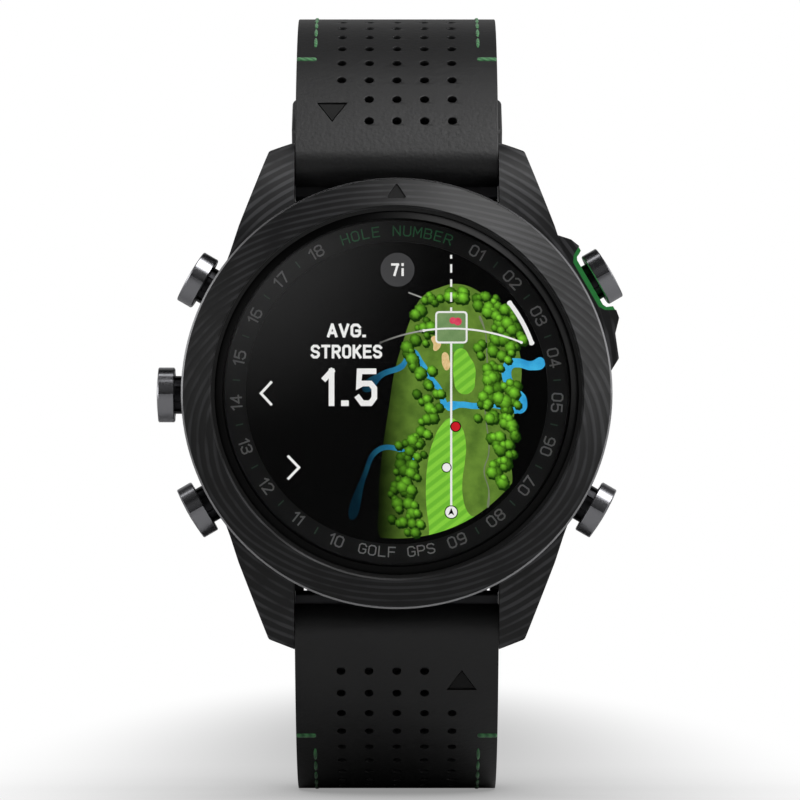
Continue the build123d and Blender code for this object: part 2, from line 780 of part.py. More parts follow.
def holed_tail(strap_layer):
    """Rounds a layer's free end and punches the adjusting holes, before it is mirrored to 6 o'clock."""
    rear_z = STRAP_TOP_Z - LOWER_REAR_R
    straight = rear_z + TAIL_TIP_Z - 15 - HOLE_PITCH
    with BuildPart() as layer:
        add(strap_layer)
        tip_edges = layer.edges().group_by(Axis.Z)[0]
        fillet(tip_edges.filter_by(lambda e: abs(e.center().X) > 5), radius=6.5)
        with BuildSketch(Plane.XZ.offset(-(CURVE_Y + LOWER_REAR_R + 2))):
            with Locations((0, -TAIL_TIP_Z + 15), (0, -TAIL_TIP_Z + 15 + HOLE_PITCH)):
                Circle(1.0)
        extrude(amount=8, mode=Mode.SUBTRACT)
        for step in range(4):
            angle = 180 - math.degrees(((step + 1) * HOLE_PITCH - straight) / LOWER_REAR_R)
            centre = on_arc(CURVE_Y, rear_z, LOWER_REAR_R + 2, angle)
            inwards = (0, math.cos(math.radians(angle)), -math.sin(math.radians(angle)))
            with BuildSketch(Plane(origin=(0, *centre), x_dir=(1, 0, 0), z_dir=inwards)):
                Circle(1.0)
            extrude(amount=8, mode=Mode.SUBTRACT)
    return layer.part


save(buckle_end(strap_leather(UPPER_REAR_R, BAR_Z - 1.2)), "upper_strap_leather")
save(buckle_end(strap_base(UPPER_REAR_R, BAR_Z - 1.2)), "upper_strap_base")
save(end_fitting(), "upper_end_fitting")
save(latch(), "upper_latch")
save(mirrored(holed_tail(strap_leather(LOWER_REAR_R, -TAIL_TIP_Z))), "lower_strap_leather")
save(mirrored(holed_tail(strap_base(LOWER_REAR_R, -TAIL_TIP_Z))), "lower_strap_base")
save(mirrored(end_fitting()), "lower_end_fitting")
save(mirrored(latch()), "lower_latch")


# ---- keepers and buckle -------------------------------------------------------------------
KEEPER_T = 1.1
KEEPER_W = 5.0
TAIL_ROOM = 3.1
REAR_Z = STRAP_TOP_Z - UPPER_REAR_R


def keeper(angle, fixed):
    """Loop round the upper strap, with room outside it for the tail. A fixed one touches the strap's sides."""
    a = math.radians(angle)
    outwards = Vector(0, -math.cos(a), math.sin(a))
    room_in = STRAP_T + (0.15 if fixed else 0.45)
    centre = Vector(0, *on_arc(CURVE_Y, REAR_Z, UPPER_REAR_R, angle))
    along = Vector(1, 0, 0).cross(outwards)
    half_w = STRAP_END_W / 2 if fixed else STRAP_W / 2 + 0.15
    with BuildPart() as loop:
        with BuildSketch(Plane(origin=centre - along * (KEEPER_W / 2), x_dir=(1, 0, 0), z_dir=along)) as section:
            up = 1 if section.workplanes[0].y_dir.dot(outwards) > 0 else -1
            with Locations((0, up * (TAIL_ROOM - room_in) / 2)):
                RectangleRounded(2 * (half_w + KEEPER_T), TAIL_ROOM + room_in + 2 * KEEPER_T, 1.3)
                Rectangle(2 * half_w, TAIL_ROOM + room_in, mode=Mode.SUBTRACT)
        extrude(amount=KEEPER_W)
        fillet(loop.edges().filter_by(GeomType.LINE).filter_by(Axis.X), radius=0.35)
    return loop.part


FIXED_KEEPER_ANGLE = 166
save(keeper(FIXED_KEEPER_ANGLE, fixed=True), "fixed_keeper")
save(keeper(146, fixed=False), "sliding_keeper")

with BuildPart() as buckle_bar:
    with BuildSketch(SIDE):
        with Locations((BAR_Y, BAR_Z)):
            Circle(BAR_R)
    extrude(amount=11.4, both=True)
save(buckle_bar.part, "buckle_bar")

FRAME_IN_X = 10.35
FRAME_T = 1.9
frame_low_z = BAR_Z - FRAME_LENGTH
with BuildPart() as buckle_frame:
    with BuildSketch(Plane.XZ.offset(-(BAR_Y + FRAME_T / 2))) as outline:
        with Locations((0, (BAR_Z + frame_low_z) / 2)):
            RectangleRounded(2 * FRAME_IN_X + 4.2, FRAME_LENGTH + 3.2, 1.5)
        with Locations((0, (BAR_Z + frame_low_z) / 2 + 2.4)):
            Rectangle(2 * FRAME_IN_X, FRAME_LENGTH + 4.4, mode=Mode.SUBTRACT)
    extrude(amount=FRAME_T)
    fillet(buckle_frame.edges().group_by(Axis.Y)[-1], radius=0.5)
    with BuildSketch(SIDE):
        with Locations((BAR_Y, BAR_Z)):
            Circle(BAR_R + RUNNING_GAP)
    extrude(amount=11.45, both=True, mode=Mode.SUBTRACT)
    with BuildSketch(Plane.XZ.offset(-(BAR_Y + FRAME_T / 2))):  # rest for the tongue's tip
        with Locations((0, frame_low_z)):
            Rectangle(2.7, 6)
    extrude(amount=0.55, mode=Mode.SUBTRACT)
save(buckle_frame.part, "buckle_frame")

TONGUE_W = 2.3
tongue_face_y = BAR_Y + FRAME_T / 2 - 0.5
with BuildPart() as buckle_tongue:
    with BuildSketch(SIDE):
        with Locations((BAR_Y, BAR_Z)):
            Circle(1.35)
        with BuildLine():
            Polyline(
                (BAR_Y - 0.2, BAR_Z - 0.6),
                (BAR_Y + 1.3, BAR_Z - 0.2),
                (tongue_face_y + 1.1, BAR_Z - 4),
                (tongue_face_y + 1.0, frame_low_z - 1.2),
                (tongue_face_y + 0.25, frame_low_z - 1.9),
                (tongue_face_y + 0.05, frame_low_z - 1.2),
                (tongue_face_y + 0.05, BAR_Z - 5),
                close=True,
            )
        make_face()
        with Locations((BAR_Y, BAR_Z)):
            Circle(BAR_R + RUNNING_GAP, mode=Mode.SUBTRACT)
    extrude(amount=TONGUE_W / 2, both=True)
save(buckle_tongue.part, "buckle_tongue")
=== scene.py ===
import math
import random

import bpy
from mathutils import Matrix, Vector


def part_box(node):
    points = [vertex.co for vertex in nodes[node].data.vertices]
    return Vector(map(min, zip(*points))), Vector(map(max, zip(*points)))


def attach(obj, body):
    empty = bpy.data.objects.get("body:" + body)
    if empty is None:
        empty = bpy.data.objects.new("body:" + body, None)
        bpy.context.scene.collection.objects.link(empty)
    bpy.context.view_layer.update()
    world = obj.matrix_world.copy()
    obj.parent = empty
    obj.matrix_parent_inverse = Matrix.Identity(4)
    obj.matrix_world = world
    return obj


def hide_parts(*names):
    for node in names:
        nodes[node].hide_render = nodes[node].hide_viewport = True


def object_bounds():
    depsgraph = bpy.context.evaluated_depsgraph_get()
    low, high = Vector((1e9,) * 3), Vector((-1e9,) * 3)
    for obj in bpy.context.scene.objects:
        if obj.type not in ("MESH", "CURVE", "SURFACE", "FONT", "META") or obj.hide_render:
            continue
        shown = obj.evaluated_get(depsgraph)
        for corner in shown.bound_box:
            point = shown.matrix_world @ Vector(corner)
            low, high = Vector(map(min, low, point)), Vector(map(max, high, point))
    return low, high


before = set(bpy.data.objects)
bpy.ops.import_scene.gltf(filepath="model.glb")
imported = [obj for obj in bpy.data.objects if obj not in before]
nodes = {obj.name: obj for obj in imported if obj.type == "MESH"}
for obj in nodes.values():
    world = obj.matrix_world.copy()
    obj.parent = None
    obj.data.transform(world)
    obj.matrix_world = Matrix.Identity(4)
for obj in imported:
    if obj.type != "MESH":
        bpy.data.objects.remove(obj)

# A round GPS sports watch for golf: carbon bezel, five buttons, printed hole numbers, perforated strap.
# Sizes in the dictionaries are millimetres, and mm turns them to metres.

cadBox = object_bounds()
mm = 0.001
print("frame loaded,", len(nodes), "nodes")


def srgb(hexText, alpha=1.0):
    # a web colour as the linear values that shaders use
    parts = [int(hexText[i:i + 2], 16) / 255 for i in (1, 3, 5)]
    return tuple(v / 12.92 if v <= 0.04045 else ((v + 0.055) / 1.055) ** 2.4 for v in parts) + (alpha,)


def addNode(tree, kind, links=None, values=None, **settings):
    # one node with its settings, socket values and links; a node given as a link means its first output
    node = tree.nodes.new("ShaderNode" + kind)
    for name, value in settings.items():
        setattr(node, name, value)
    for socket, value in (values or {}).items():
        node.inputs[socket].default_value = value
    for socket, source in (links or {}).items():
        output = source.outputs[0] if isinstance(source, bpy.types.Node) else source
        tree.links.new(output, node.inputs[socket])
    return node


def setRamp(node, *stops):
    # stops are (place, hex colour)
    band = node.color_ramp.elements
    while len(band) < len(stops):
        band.new(1.0)
    for element, (place, colour) in zip(band, stops):
        element.position = place
        element.color = srgb(colour)


def newMaterial(name):
    material = bpy.data.materials.new(name)
    material.use_nodes = True
    material.node_tree.nodes.clear()
    tree = material.node_tree
    coords = addNode(tree, "TexCoord").outputs["Object"]
    return material, tree, coords


def finishMaterial(tree, shader):
    addNode(tree, "OutputMaterial", {"Surface": shader})


def pick(*pieces):
    # selects the pieces, the last one active
    if bpy.context.object and bpy.context.object.mode != "OBJECT":
        bpy.ops.object.mode_set(mode="OBJECT")
    bpy.ops.object.select_all(action="DESELECT")
    for piece in pieces:
        piece.select_set(True)
    bpy.context.view_layer.objects.active = pieces[-1]
    return pieces[-1]


def startFrom(add, **settings):
    # a new primitive, with nothing else selected
    bpy.ops.object.select_all(action="DESELECT")
    add(**settings)
    return bpy.context.object


def applyPlace(piece):
    pick(piece)
    bpy.ops.object.transform_apply(location=True, rotation=True, scale=True)


def applyModifiers(piece):
    pick(piece)
    for modifier in list(piece.modifiers):
        bpy.ops.object.modifier_apply(modifier=modifier.name)


def bevelEdges(piece, width, segments):
    bevel = piece.modifiers.new("roundedEdge", "BEVEL")
    bevel.width = width * mm
    bevel.segments = segments
    bevel.limit_method = "ANGLE"
    bevel.angle_limit = math.radians(50)
    applyModifiers(piece)


def joinPieces(pieces):
    pick(*pieces)
    bpy.ops.object.join()
    return bpy.context.object


def copiesAt(piece, places):
    # copies of a piece, each with its own mesh, at (x, y, z, turn about z)
    copies = []
    for x, y, z, turn in places:
        copy = piece.copy()
        copy.data = piece.data.copy()
        bpy.context.collection.objects.link(copy)
        copy.location = (x, y, z)
        copy.rotation_euler = (0, 0, turn)
        copies.append(copy)
    bpy.data.objects.remove(piece)
    joined = joinPieces(copies)
    applyPlace(joined)
    return joined


def finishPiece(piece, name, material, body, angle=35):
    pick(piece)
    piece.name = name
    piece.data.name = name
    if piece.type == "MESH" and angle:
        bpy.ops.object.shade_smooth_by_angle(angle=math.radians(angle))
    piece.data.materials.clear()
    piece.data.materials.append(material)
    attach(piece, body)
    return piece


# materials of the case
carbonLook = {  # layer spacings in millimetres; real plies are 0.2 mm, drawn coarser so that they show
    "stripe": 0.9, "fineStripe": 0.28, "distort": 2.6, "roughness": 0.4, "specular": 0.36, "bumpDepth": 0.03,
}
waveScale = 2 * math.pi / 20  # a Wave Texture at this scale repeats once a metre


def laminatedCarbon(name, centreZ, squash, rimOuter, dark, light):
    # forged carbon-fibre composite, machined through its layers: satin, with wavy layer lines
    material, tree, coords = newMaterial(name)
    placed = addNode(tree, "Mapping", {"Vector": coords},
                     {"Scale": (1, 1, squash), "Location": (0, 0, -centreZ * squash * mm)})
    layers = addNode(tree, "TexWave", {"Vector": placed},
                     {"Scale": waveScale / (carbonLook["stripe"] * mm),
                      "Distortion": carbonLook["distort"], "Detail": 1.5, "Detail Scale": 0.22},
                     wave_type="RINGS", rings_direction="Y")
    fine = addNode(tree, "TexWave", {"Vector": placed},
                   {"Scale": waveScale / (carbonLook["fineStripe"] * mm), "Distortion": 6.0, "Detail": 2,
                    "Detail Scale": 0.1},
                   wave_type="RINGS", rings_direction="Y")
    patches = addNode(tree, "TexNoise", {"Vector": coords}, {"Scale": 260, "Detail": 3})
    mixed = addNode(tree, "Mix", {"A": layers.outputs["Fac"], "B": fine.outputs["Fac"]},
                    {"Factor": 0.08})
    faded = addNode(tree, "Math", {0: mixed.outputs["Result"], 1: patches.outputs["Fac"]},
                    operation="MULTIPLY")
    ramp = addNode(tree, "ValToRGB", {"Fac": faded})
    setRamp(ramp, (0.1, dark), (0.26, dark), (0.5, light))
    bump = addNode(tree, "Bump", {"Height": mixed.outputs["Result"]},
                   {"Strength": 0.25, "Distance": carbonLook["bumpDepth"] * mm})
    satin = addNode(tree, "BsdfPrincipled",
                    {"Base Color": ramp.outputs["Color"], "Normal": bump},
                    {"Specular IOR Level": carbonLook["specular"], "Roughness": carbonLook["roughness"]})
    if not rimOuter:
        finishMaterial(tree, satin)
        return material
    # the turned outer chamfer is polished
    flat = addNode(tree, "VectorMath", {0: coords}, {1: (1, 0, 1)}, operation="MULTIPLY")
    radius = addNode(tree, "VectorMath", {0: flat}, operation="LENGTH").outputs["Value"]
    outside = addNode(tree, "Math", {0: radius}, {1: rimOuter * mm}, operation="GREATER_THAN")
    polished = addNode(tree, "BsdfPrincipled", None,
                       {"Base Color": srgb("#b4b4b6"), "Metallic": 1.0, "Roughness": 0.2})
    both = addNode(tree, "MixShader",
                   {0: outside, 1: satin, 2: polished})
    finishMaterial(tree, both)
    return material


coatGrain = 0.12


def coatedMetal(name, colour, roughness, metallic=1.0):
    # metal with a hard vapour-deposited coat: dark, satin, with faint turning lines
    material, tree, coords = newMaterial(name)
    noise = addNode(tree, "TexNoise", {"Vector": coords}, {"Scale": 1 / (coatGrain * mm), "Detail": 4})
    spread = addNode(tree, "MapRange", {"Value": noise.outputs["Fac"]},
                     {"To Min": roughness - 0.05, "To Max": roughness + 0.08})
    bump = addNode(tree, "Bump", {"Height": noise.outputs["Fac"]},
                   {"Strength": 0.08, "Distance": 0.01 * mm})
    metal = addNode(tree, "BsdfPrincipled",
                    {"Roughness": spread, "Normal": bump},
                    {"Base Color": srgb(colour), "Metallic": metallic})
    finishMaterial(tree, metal)
    return material


def mouldedPolymer(name, colour, roughness, grain=0.3, strength=0.25, sheen=0.0):
    # moulded plastic or rubber: an even colour with the fine spark-eroded grain of its mould
    material, tree, coords = newMaterial(name)
    noise = addNode(tree, "TexNoise", {"Vector": coords}, {"Scale": 1 / (grain * mm), "Detail": 6})
    ramp = addNode(tree, "ValToRGB", {"Fac": noise.outputs["Fac"]})
    tint = [max(0, min(255, int(colour[i:i + 2], 16) + 5)) for i in (1, 3, 5)]
    setRamp(ramp, (0.35, colour), (0.7, "#%02x%02x%02x" % tuple(tint)))
    bump = addNode(tree, "Bump", {"Height": noise.outputs["Fac"]},
                   {"Strength": strength, "Distance": 0.03 * mm})
    body = addNode(tree, "BsdfPrincipled",
                   {"Base Color": ramp.outputs["Color"], "Normal": bump},
                   {"Roughness": roughness, "Sheen Weight": sheen})
    finishMaterial(tree, body)
    return material


def clearGlass(name, colour, edgeRadius):
    # sapphire ground flat and polished, with a black printed border under its chamfered edge
    material, tree, coords = newMaterial(name)
    flat = addNode(tree, "VectorMath", {0: coords}, {1: (1, 0, 1)}, operation="MULTIPLY")
    radius = addNode(tree, "VectorMath", {0: flat}, operation="LENGTH").outputs["Value"]
    edge = addNode(tree, "Math", {0: radius}, {1: edgeRadius * mm}, operation="GREATER_THAN")
    glass = addNode(tree, "BsdfPrincipled", None,
                    {"Base Color": srgb(colour), "Roughness": 0.0, "IOR": 1.5, "Transmission Weight": 1.0})
    border = addNode(tree, "BsdfPrincipled", None,
                     {"Base Color": srgb("#050505"), "Roughness": 0.3, "Specular IOR Level": 0.12})
    both = addNode(tree, "MixShader", {0: edge, 1: glass, 2: border})
    finishMaterial(tree, both)
    return material


# fine arcs, bright rim
bezelCarbon = laminatedCarbon("bezelLaminatedCarbon", -5, 1.34, 22.8, "#121213", "#323234")
caseCarbon = laminatedCarbon("caseLaminatedCarbon", 2, 1.0, 0, "#202021", "#464648")  # broad bands on the lugs
buttonSteel = coatedMetal("blackCoatedSteel", "#a0a0a4", 0.2)  # dark mirror with lengthwise bands
collarSteel = coatedMetal("darkTurnedSteel", "#2c2c2e", 0.3)  # nearly black behind the caps
brightSteel = coatedMetal("brightSpringSteel", "#b8b8ba", 0.25)  # bare drawn wire, bright
greenAnodised = coatedMetal("greenAnodisedAluminium", "#35a04c", 0.45, metallic=0.3)  # dyed oxide, soft green
markerLacquer = mouldedPolymer("blackInlayLacquer", "#020202", 0.8, strength=0.05)  # matt black filling
sapphire = clearGlass("sapphireCrystal", "#ffffff", 18.5)  # clear and sharp, black at its edge
gasketBlack = mouldedPolymer("blackGasketRubber", "#060606", 0.4, strength=0.02)  # a thin dark line
dialPolymer = mouldedPolymer("dialRingBlackPolymer", "#0a0b0b", 0.45, strength=0.1)  # satin black ground
panelGlass = mouldedPolymer("displayPanelBlackGlass", "#020202", 0.1, strength=0.0)  # deep glossy black
innerPolymer = mouldedPolymer("innerGlassFilledNylon", "#3a3b3d", 0.6)  # dull grey, slightly speckled
boardLaminate = mouldedPolymer("circuitBoardLaminate", "#0f4a2a", 0.4)  # green solder mask
shieldTin = coatedMetal("tinnedShieldSteel", "#b4b4b2", 0.35)  # soft silver sheet
batteryFoil = coatedMetal("batteryFoilPouch", "#9a9b9e", 0.45)  # dull silver foil
contactGold = coatedMetal("goldPlatedContact", "#d9a441", 0.25)  # small gold glints
# fine matt grain
backPolymer = mouldedPolymer("backFibreFilledPolymer", "#1c1c1d", 0.5, grain=0.2, strength=0.4)
sensorGlass = mouldedPolymer("sensorDarkGlass", "#08080a", 0.08, strength=0.0)  # dark and very glossy
sealRubber = mouldedPolymer("sealNitrileRubber", "#111111", 0.7)  # dull black
# silky black
strapRubber = mouldedPolymer("strapFluoroRubber", "#1a1a1b", 0.55, grain=0.25, strength=0.3, sheen=0.1)
buckleSteel = coatedMetal("buckleCoatedSteel", "#454547", 0.3)  # satin black metal

finishes = {
    bezelCarbon: ["bezel"], caseCarbon: ["mid_case"], collarSteel: ["button_collars"],
    buttonSteel: ["start_button", "back_button", "light_button", "menu_button", "down_button"],
    greenAnodised: ["button_guard_liner"], markerLacquer: ["bezel_marker"], sapphire: ["crystal"],
    gasketBlack: ["crystal_gasket"], dialPolymer: ["dial_ring"], panelGlass: ["display_panel"],
    innerPolymer: ["inner_chassis", "charging_socket", "gps_antenna"],
    boardLaminate: ["main_board", "sensor_board", "button_switches"],
    shieldTin: ["processor_shields", "display_bracket", "vibration_motor"], batteryFoil: ["battery"],
    contactGold: ["charging_contacts"], backPolymer: ["back_cover"], sensorGlass: ["sensor_window"],
    sealRubber: ["button_seals", "back_gasket"],
    brightSteel: ["lug_pins", "back_screws"] + [n for n in nodes if n.endswith(("_spring", "_clip"))],
    buckleSteel: ["buckle_frame", "buckle_tongue", "buckle_bar", "upper_end_fitting", "lower_end_fitting",
                  "upper_latch", "lower_latch"],
}
for material, names in finishes.items():
    for name in names:
        nodes[name].data.materials.clear()
        nodes[name].data.materials.append(material)
print("case materials set")

# printing on the dial ring and the picture on the display are flat shapes, drawn in x and z
inkThickness = 0.016
pictureLift = 0.2  # the picture sits this much above the centre of the glass
layerHeight = {  # how far towards the glass each layer lies
    "rough": 12.3, "water": 12.335, "path": 12.36, "green": 12.38, "fairway": 12.385, "words": 12.4,
    "sand": 12.41, "trees": 12.43, "badgeWords": 12.45, "target": 12.53, "pin": 12.56, "sightLine": 12.58,
    "frame": 12.6, "arc": 12.62, "rims": 12.64, "dots": 12.66, "pointer": 12.68, "dial": 12.875,
}


def standUp(piece, layer):
    # turns a flat drawing to face the glass, in its layer
    piece.rotation_euler = (math.pi / 2, 0, 0)
    piece.location = (0, -layerHeight[layer] * mm, 0 if layer == "dial" else pictureLift * mm)
    applyPlace(piece)
    return piece


def flatShape(outlines, layer, smooth=True, reachLimit=0):
    # filled outlines, given in millimetres, as one thin mesh
    curve = bpy.data.curves.new("flatShape", "CURVE")
    curve.dimensions = "2D"
    curve.fill_mode = "BOTH"
    curve.resolution_u = 8
    curve.extrude = inkThickness / 2 * mm
    for outline in outlines:
        spline = curve.splines.new("BEZIER")
        spline.bezier_points.add(len(outline) - 1)
        for point, (x, z) in zip(spline.bezier_points, outline):
            point.co = (x * mm, z * mm, 0)
            point.handle_left_type = point.handle_right_type = "AUTO" if smooth else "VECTOR"
        spline.use_cyclic_u = True
    shape = bpy.data.objects.new("flatShape", curve)
    bpy.context.collection.objects.link(shape)
    pick(shape)
    bpy.ops.object.convert(target="MESH")
    shape = bpy.context.object
    if reachLimit:
        for vertex in shape.data.vertices:
            radius = math.hypot(vertex.co.x, vertex.co.y) / mm
            if radius > reachLimit:
                vertex.co.x *= reachLimit / radius
                vertex.co.y *= reachLimit / radius
    return standUp(shape, layer)


def ribbon(points, width, layer, smooth=True, closed=False):
    # a line of even width through the points, with mitred corners
    left, right = [], []
    count = len(points)
    for i, (x, z) in enumerate(points):
        here = Vector((x, z))
        runs = []
        if i or closed:
            runs.append((here - Vector(points[i - 1])).normalized())
        if i < count - 1 or closed:
            runs.append((Vector(points[(i + 1) % count]) - here).normalized())
        run = (runs[0] + runs[-1]) / max(0.5, 1 + runs[0].dot(runs[-1]))
        left.append((x - run.y * width / 2, z + run.x * width / 2))
        right.append((x + run.y * width / 2, z - run.x * width / 2))
    if closed:
        return flatShape([left, right[::-1]], layer, smooth)
    return flatShape([left + right[::-1]], layer, smooth)


def arcPoints(x, z, radius, start, end, steps):
    # points on an arc, with angles in degrees clockwise from the top
    angles = [math.radians(start + (end - start) * i / steps) for i in range(steps + 1)]
    return [(x + radius * math.sin(a), z + radius * math.cos(a)) for a in angles]


def disc(x, z, radius, layer):
    return flatShape([arcPoints(x, z, radius, 0, 330, 11)], layer)


# each character as lines on a grid 6 tall; a line that ends where it starts is closed
bowl = [(1, 0), (3, 0), (4, 1), (4, 5), (3, 6), (1, 6), (0, 5), (0, 1), (1, 0)]
strokes = {
    "0": [bowl], "O": [bowl], "1": [[(0, 4.7), (1.6, 6)], [(1.6, 6), (1.6, 0)]],
    "2": [[(0, 5), (1, 6), (3, 6), (4, 5), (4, 3.9), (0.2, 0)], [(0, 0), (4, 0)]],
    "3": [[(0, 5), (1, 6), (3, 6), (4, 5.2), (4, 3.9), (3, 3.1), (4, 2.2), (4, 0.8), (3, 0), (1, 0), (0, 1)],
          [(1.2, 3.1), (3, 3.1)]],
    "4": [[(3, 0), (3, 6)], [(2.9, 6), (0.1, 1.6)], [(0, 1.6), (4.2, 1.6)]],
    "5": [[(3.8, 6), (0.3, 6), (0.1, 3.3), (1, 3.7), (3, 3.7), (4, 2.8), (4, 1), (3, 0), (1, 0), (0, 1)]],
    "6": [[(3.7, 6), (1, 6), (0, 5), (0, 1), (1, 0), (3, 0), (4, 1), (4, 2.5), (3, 3.4)],
          [(2.9, 3.4), (0, 3.4)]],
    "7": [[(0, 6), (4, 6)], [(3.8, 6), (1.6, 0)]],
    "8": [[(1, 3.1), (0, 4), (0, 5.2), (1, 6), (3, 6), (4, 5.2), (4, 4), (3, 3.1), (4, 2.3), (4, 0.9), (3, 0),
           (1, 0), (0, 0.9), (0, 2.3), (1, 3.1)], [(1, 3.1), (3, 3.1)]],
    "9": [[(0.3, 0), (3, 0), (4, 1), (4, 5), (3, 6), (1, 6), (0, 5), (0, 3.5), (1, 2.6)],
          [(1.1, 2.6), (4, 2.6)]],
    "A": [[(0, 0), (1.9, 6)], [(2.1, 6), (4, 0)], [(0.8, 1.7), (3.2, 1.7)]],
    "B": [[(0, 0), (0, 6)], [(0, 3.1), (3, 3.1), (4, 2.3), (4, 0.8), (3, 0), (0, 0)],
          [(0, 6), (3, 6), (3.8, 5.2), (3.8, 3.9), (3, 3.1)]],
    "E": [[(3.8, 6), (0, 6), (0, 0), (3.8, 0)], [(0, 3.1), (3.3, 3.1)]],
    "F": [[(3.8, 6), (0, 6), (0, 0)], [(0, 3), (3.3, 3)]],
    "G": [[(4, 4.8), (3, 6), (1, 6), (0, 5), (0, 1), (1, 0), (3, 0), (4, 1), (4, 2.6)],
          [(2.4, 2.8), (4, 2.8)]],
    "H": [[(0, 0), (0, 6)], [(4, 0), (4, 6)], [(0, 3.1), (4, 3.1)]],
    "K": [[(0, 0), (0, 6)], [(3.8, 6), (0.4, 2.5)], [(1.3, 3.4), (4, 0)]],
    "L": [[(0, 6), (0, 0), (3.6, 0)]],
    "M": [[(0, 0), (0, 6)], [(0.2, 6), (2.2, 2)], [(2.2, 2), (4.2, 6)], [(4.4, 0), (4.4, 6)]],
    "N": [[(0, 0), (0, 6)], [(0.1, 5.9), (3.9, 0.1)], [(4, 0), (4, 6)]],
    "P": [[(0, 0), (0, 6)], [(0, 6), (3, 6), (4, 5.1), (4, 3.6), (3, 2.7), (0, 2.7)]],
    "R": [[(0, 0), (0, 6)], [(0, 6), (3, 6), (4, 5.1), (4, 3.7), (3, 2.8), (0, 2.8)], [(2.2, 2.8), (4, 0)]],
    "S": [[(4, 5.1), (3, 6), (1, 6), (0, 5.1), (0, 4), (1, 3.2), (3, 2.8), (4, 2), (4, 0.9), (3, 0), (1, 0),
           (0, 0.9)]],
    "T": [[(0, 6), (4, 6)], [(2, 6), (2, 0)]], "U": [[(0, 6), (0, 1), (1, 0), (3, 0), (4, 1), (4, 6)]],
    "V": [[(0, 6), (1.9, 0)], [(2.1, 0), (4, 6)]],
    "i": [[(0, 0), (0, 3.2)], [(0, 5.8), (0, 6.1)]], ".": [[(0, 0), (0.5, 0)]],
}


def lettering(body, x, z, wide, tall, line, gap, layer, turn=0.0):
    # words in even strokes, centred on (x, z); wide and tall are one character's outer size in millimetres
    acrossUnit, upUnit = (wide - line) / 4, (tall - line) / 6
    widths = [max(px for stroke in strokes[c] for px, pz in stroke) * acrossUnit for c in body]
    cursor = -(sum(widths) + (len(body) - 1) * (gap + line)) / 2
    sine, cosine = math.sin(math.radians(turn)), math.cos(math.radians(turn))
    pieces = []
    for character, width in zip(body, widths):
        for stroke in strokes[character]:
            placed = []
            for px, pz in stroke:
                lx, lz = cursor + px * acrossUnit, (pz - 3) * upUnit
                placed.append((x + lx * cosine - lz * sine, z + lx * sine + lz * cosine))
            closed = stroke[0] == stroke[-1]
            path = placed[:-1] if closed else squareEnds(placed, line)
            pieces.append(ribbon(path, line, layer, False, closed))
        cursor += width + gap + line
    return joinPieces(pieces)


def squareEnds(points, line):
    # lengthens an open stroke by half its width at both ends
    points = [Vector(p) for p in points]
    first = points[0] + (points[0] - points[1]).normalized() * line / 2
    last = points[-1] + (points[-1] - points[-2]).normalized() * line / 2
    return [tuple(first)] + [tuple(p) for p in points[1:-1]] + [tuple(last)]


def displayInk(name, light, dark, pattern="", size=1.0, fadeFrom=0, fadeTo=0):
    # one colour of the liquid-crystal display, lit from behind: even, with no gloss of its own
    material, tree, coords = newMaterial(name)
    if pattern == "stripes":  # mown stripes run across the fairway
        turned = addNode(tree, "Mapping", {"Vector": coords}, 
                         {"Rotation": (0, math.radians(course["stripeAngle"]), 0)})
        mix = addNode(tree, "TexWave", {"Vector": turned},
                      {"Scale": waveScale / (size * mm)}, bands_direction="Z").outputs["Fac"]
    elif pattern == "shade":
        mix = addNode(tree, "Attribute", attribute_name="canopyShade").outputs["Fac"]
    else:
        mix = addNode(tree, "TexNoise", {"Vector": coords},
                      {"Scale": 1 / (size * mm), "Detail": 3}).outputs["Fac"]
    ramp = addNode(tree, "ValToRGB", {"Fac": mix})
    setRamp(ramp, (0.0 if pattern == "shade" else 0.3, dark), (1.0 if pattern == "shade" else 0.7, light))
    power = {}
    if fadeTo != fadeFrom:
        across = addNode(tree, "SeparateXYZ", {0: coords})
        power["Strength"] = addNode(tree, "MapRange", {"Value": across.outputs["X"]},
                                    {"From Min": fadeFrom * mm, "From Max": fadeTo * mm, "To Min": 0.03},
                                    interpolation_type="SMOOTHSTEP")
    glow = addNode(tree, "Emission", {"Color": ramp.outputs["Color"], **power},
                   {} if power else {"Strength": 1.0})
    finishMaterial(tree, glow)
    return material


def printedInk(name, colour):
    # pad-printed ink on the dial ring: matt and thin
    material, tree, coords = newMaterial(name)
    noise = addNode(tree, "TexNoise", {"Vector": coords}, {"Scale": 1 / (0.2 * mm), "Detail": 4})
    bump = addNode(tree, "Bump", {"Height": noise.outputs["Fac"]},
                   {"Strength": 0.1, "Distance": 0.01 * mm})
    ink = addNode(tree, "BsdfPrincipled", {"Normal": bump},
                  {"Base Color": srgb(colour), "Roughness": 0.6})
    finishMaterial(tree, ink)
    return material


dialPrint = {
    "radius": 17.1, "lift": 0.15, "firstAngle": 30, "step": 16,
    "tickFrom": 16.7, "tickTo": 17.5, "tickWidth": 0.15,
    "number": {"wide": 0.92, "tall": 1.26, "line": 0.17, "gap": 0.2},
    "letter": {"wide": 0.86, "tall": 1.12, "line": 0.13, "gap": 0},
    "title": "HOLE NUMBER", "titleStep": 3.75, "foot": "GOLF GPS", "footStep": 3.5,
}


def aroundDial(angle, body, style, outwards):
    # lettering at an angle clockwise from 12 o'clock, with its top outwards or inwards
    a = math.radians(angle)
    x, z = dialPrint["radius"] * math.sin(a), dialPrint["radius"] * math.cos(a) + dialPrint["lift"]
    return lettering(body, x, z,
                     style["wide"], style["tall"], style["line"], style["gap"], "dial",
                     -angle if outwards else 180 - angle)


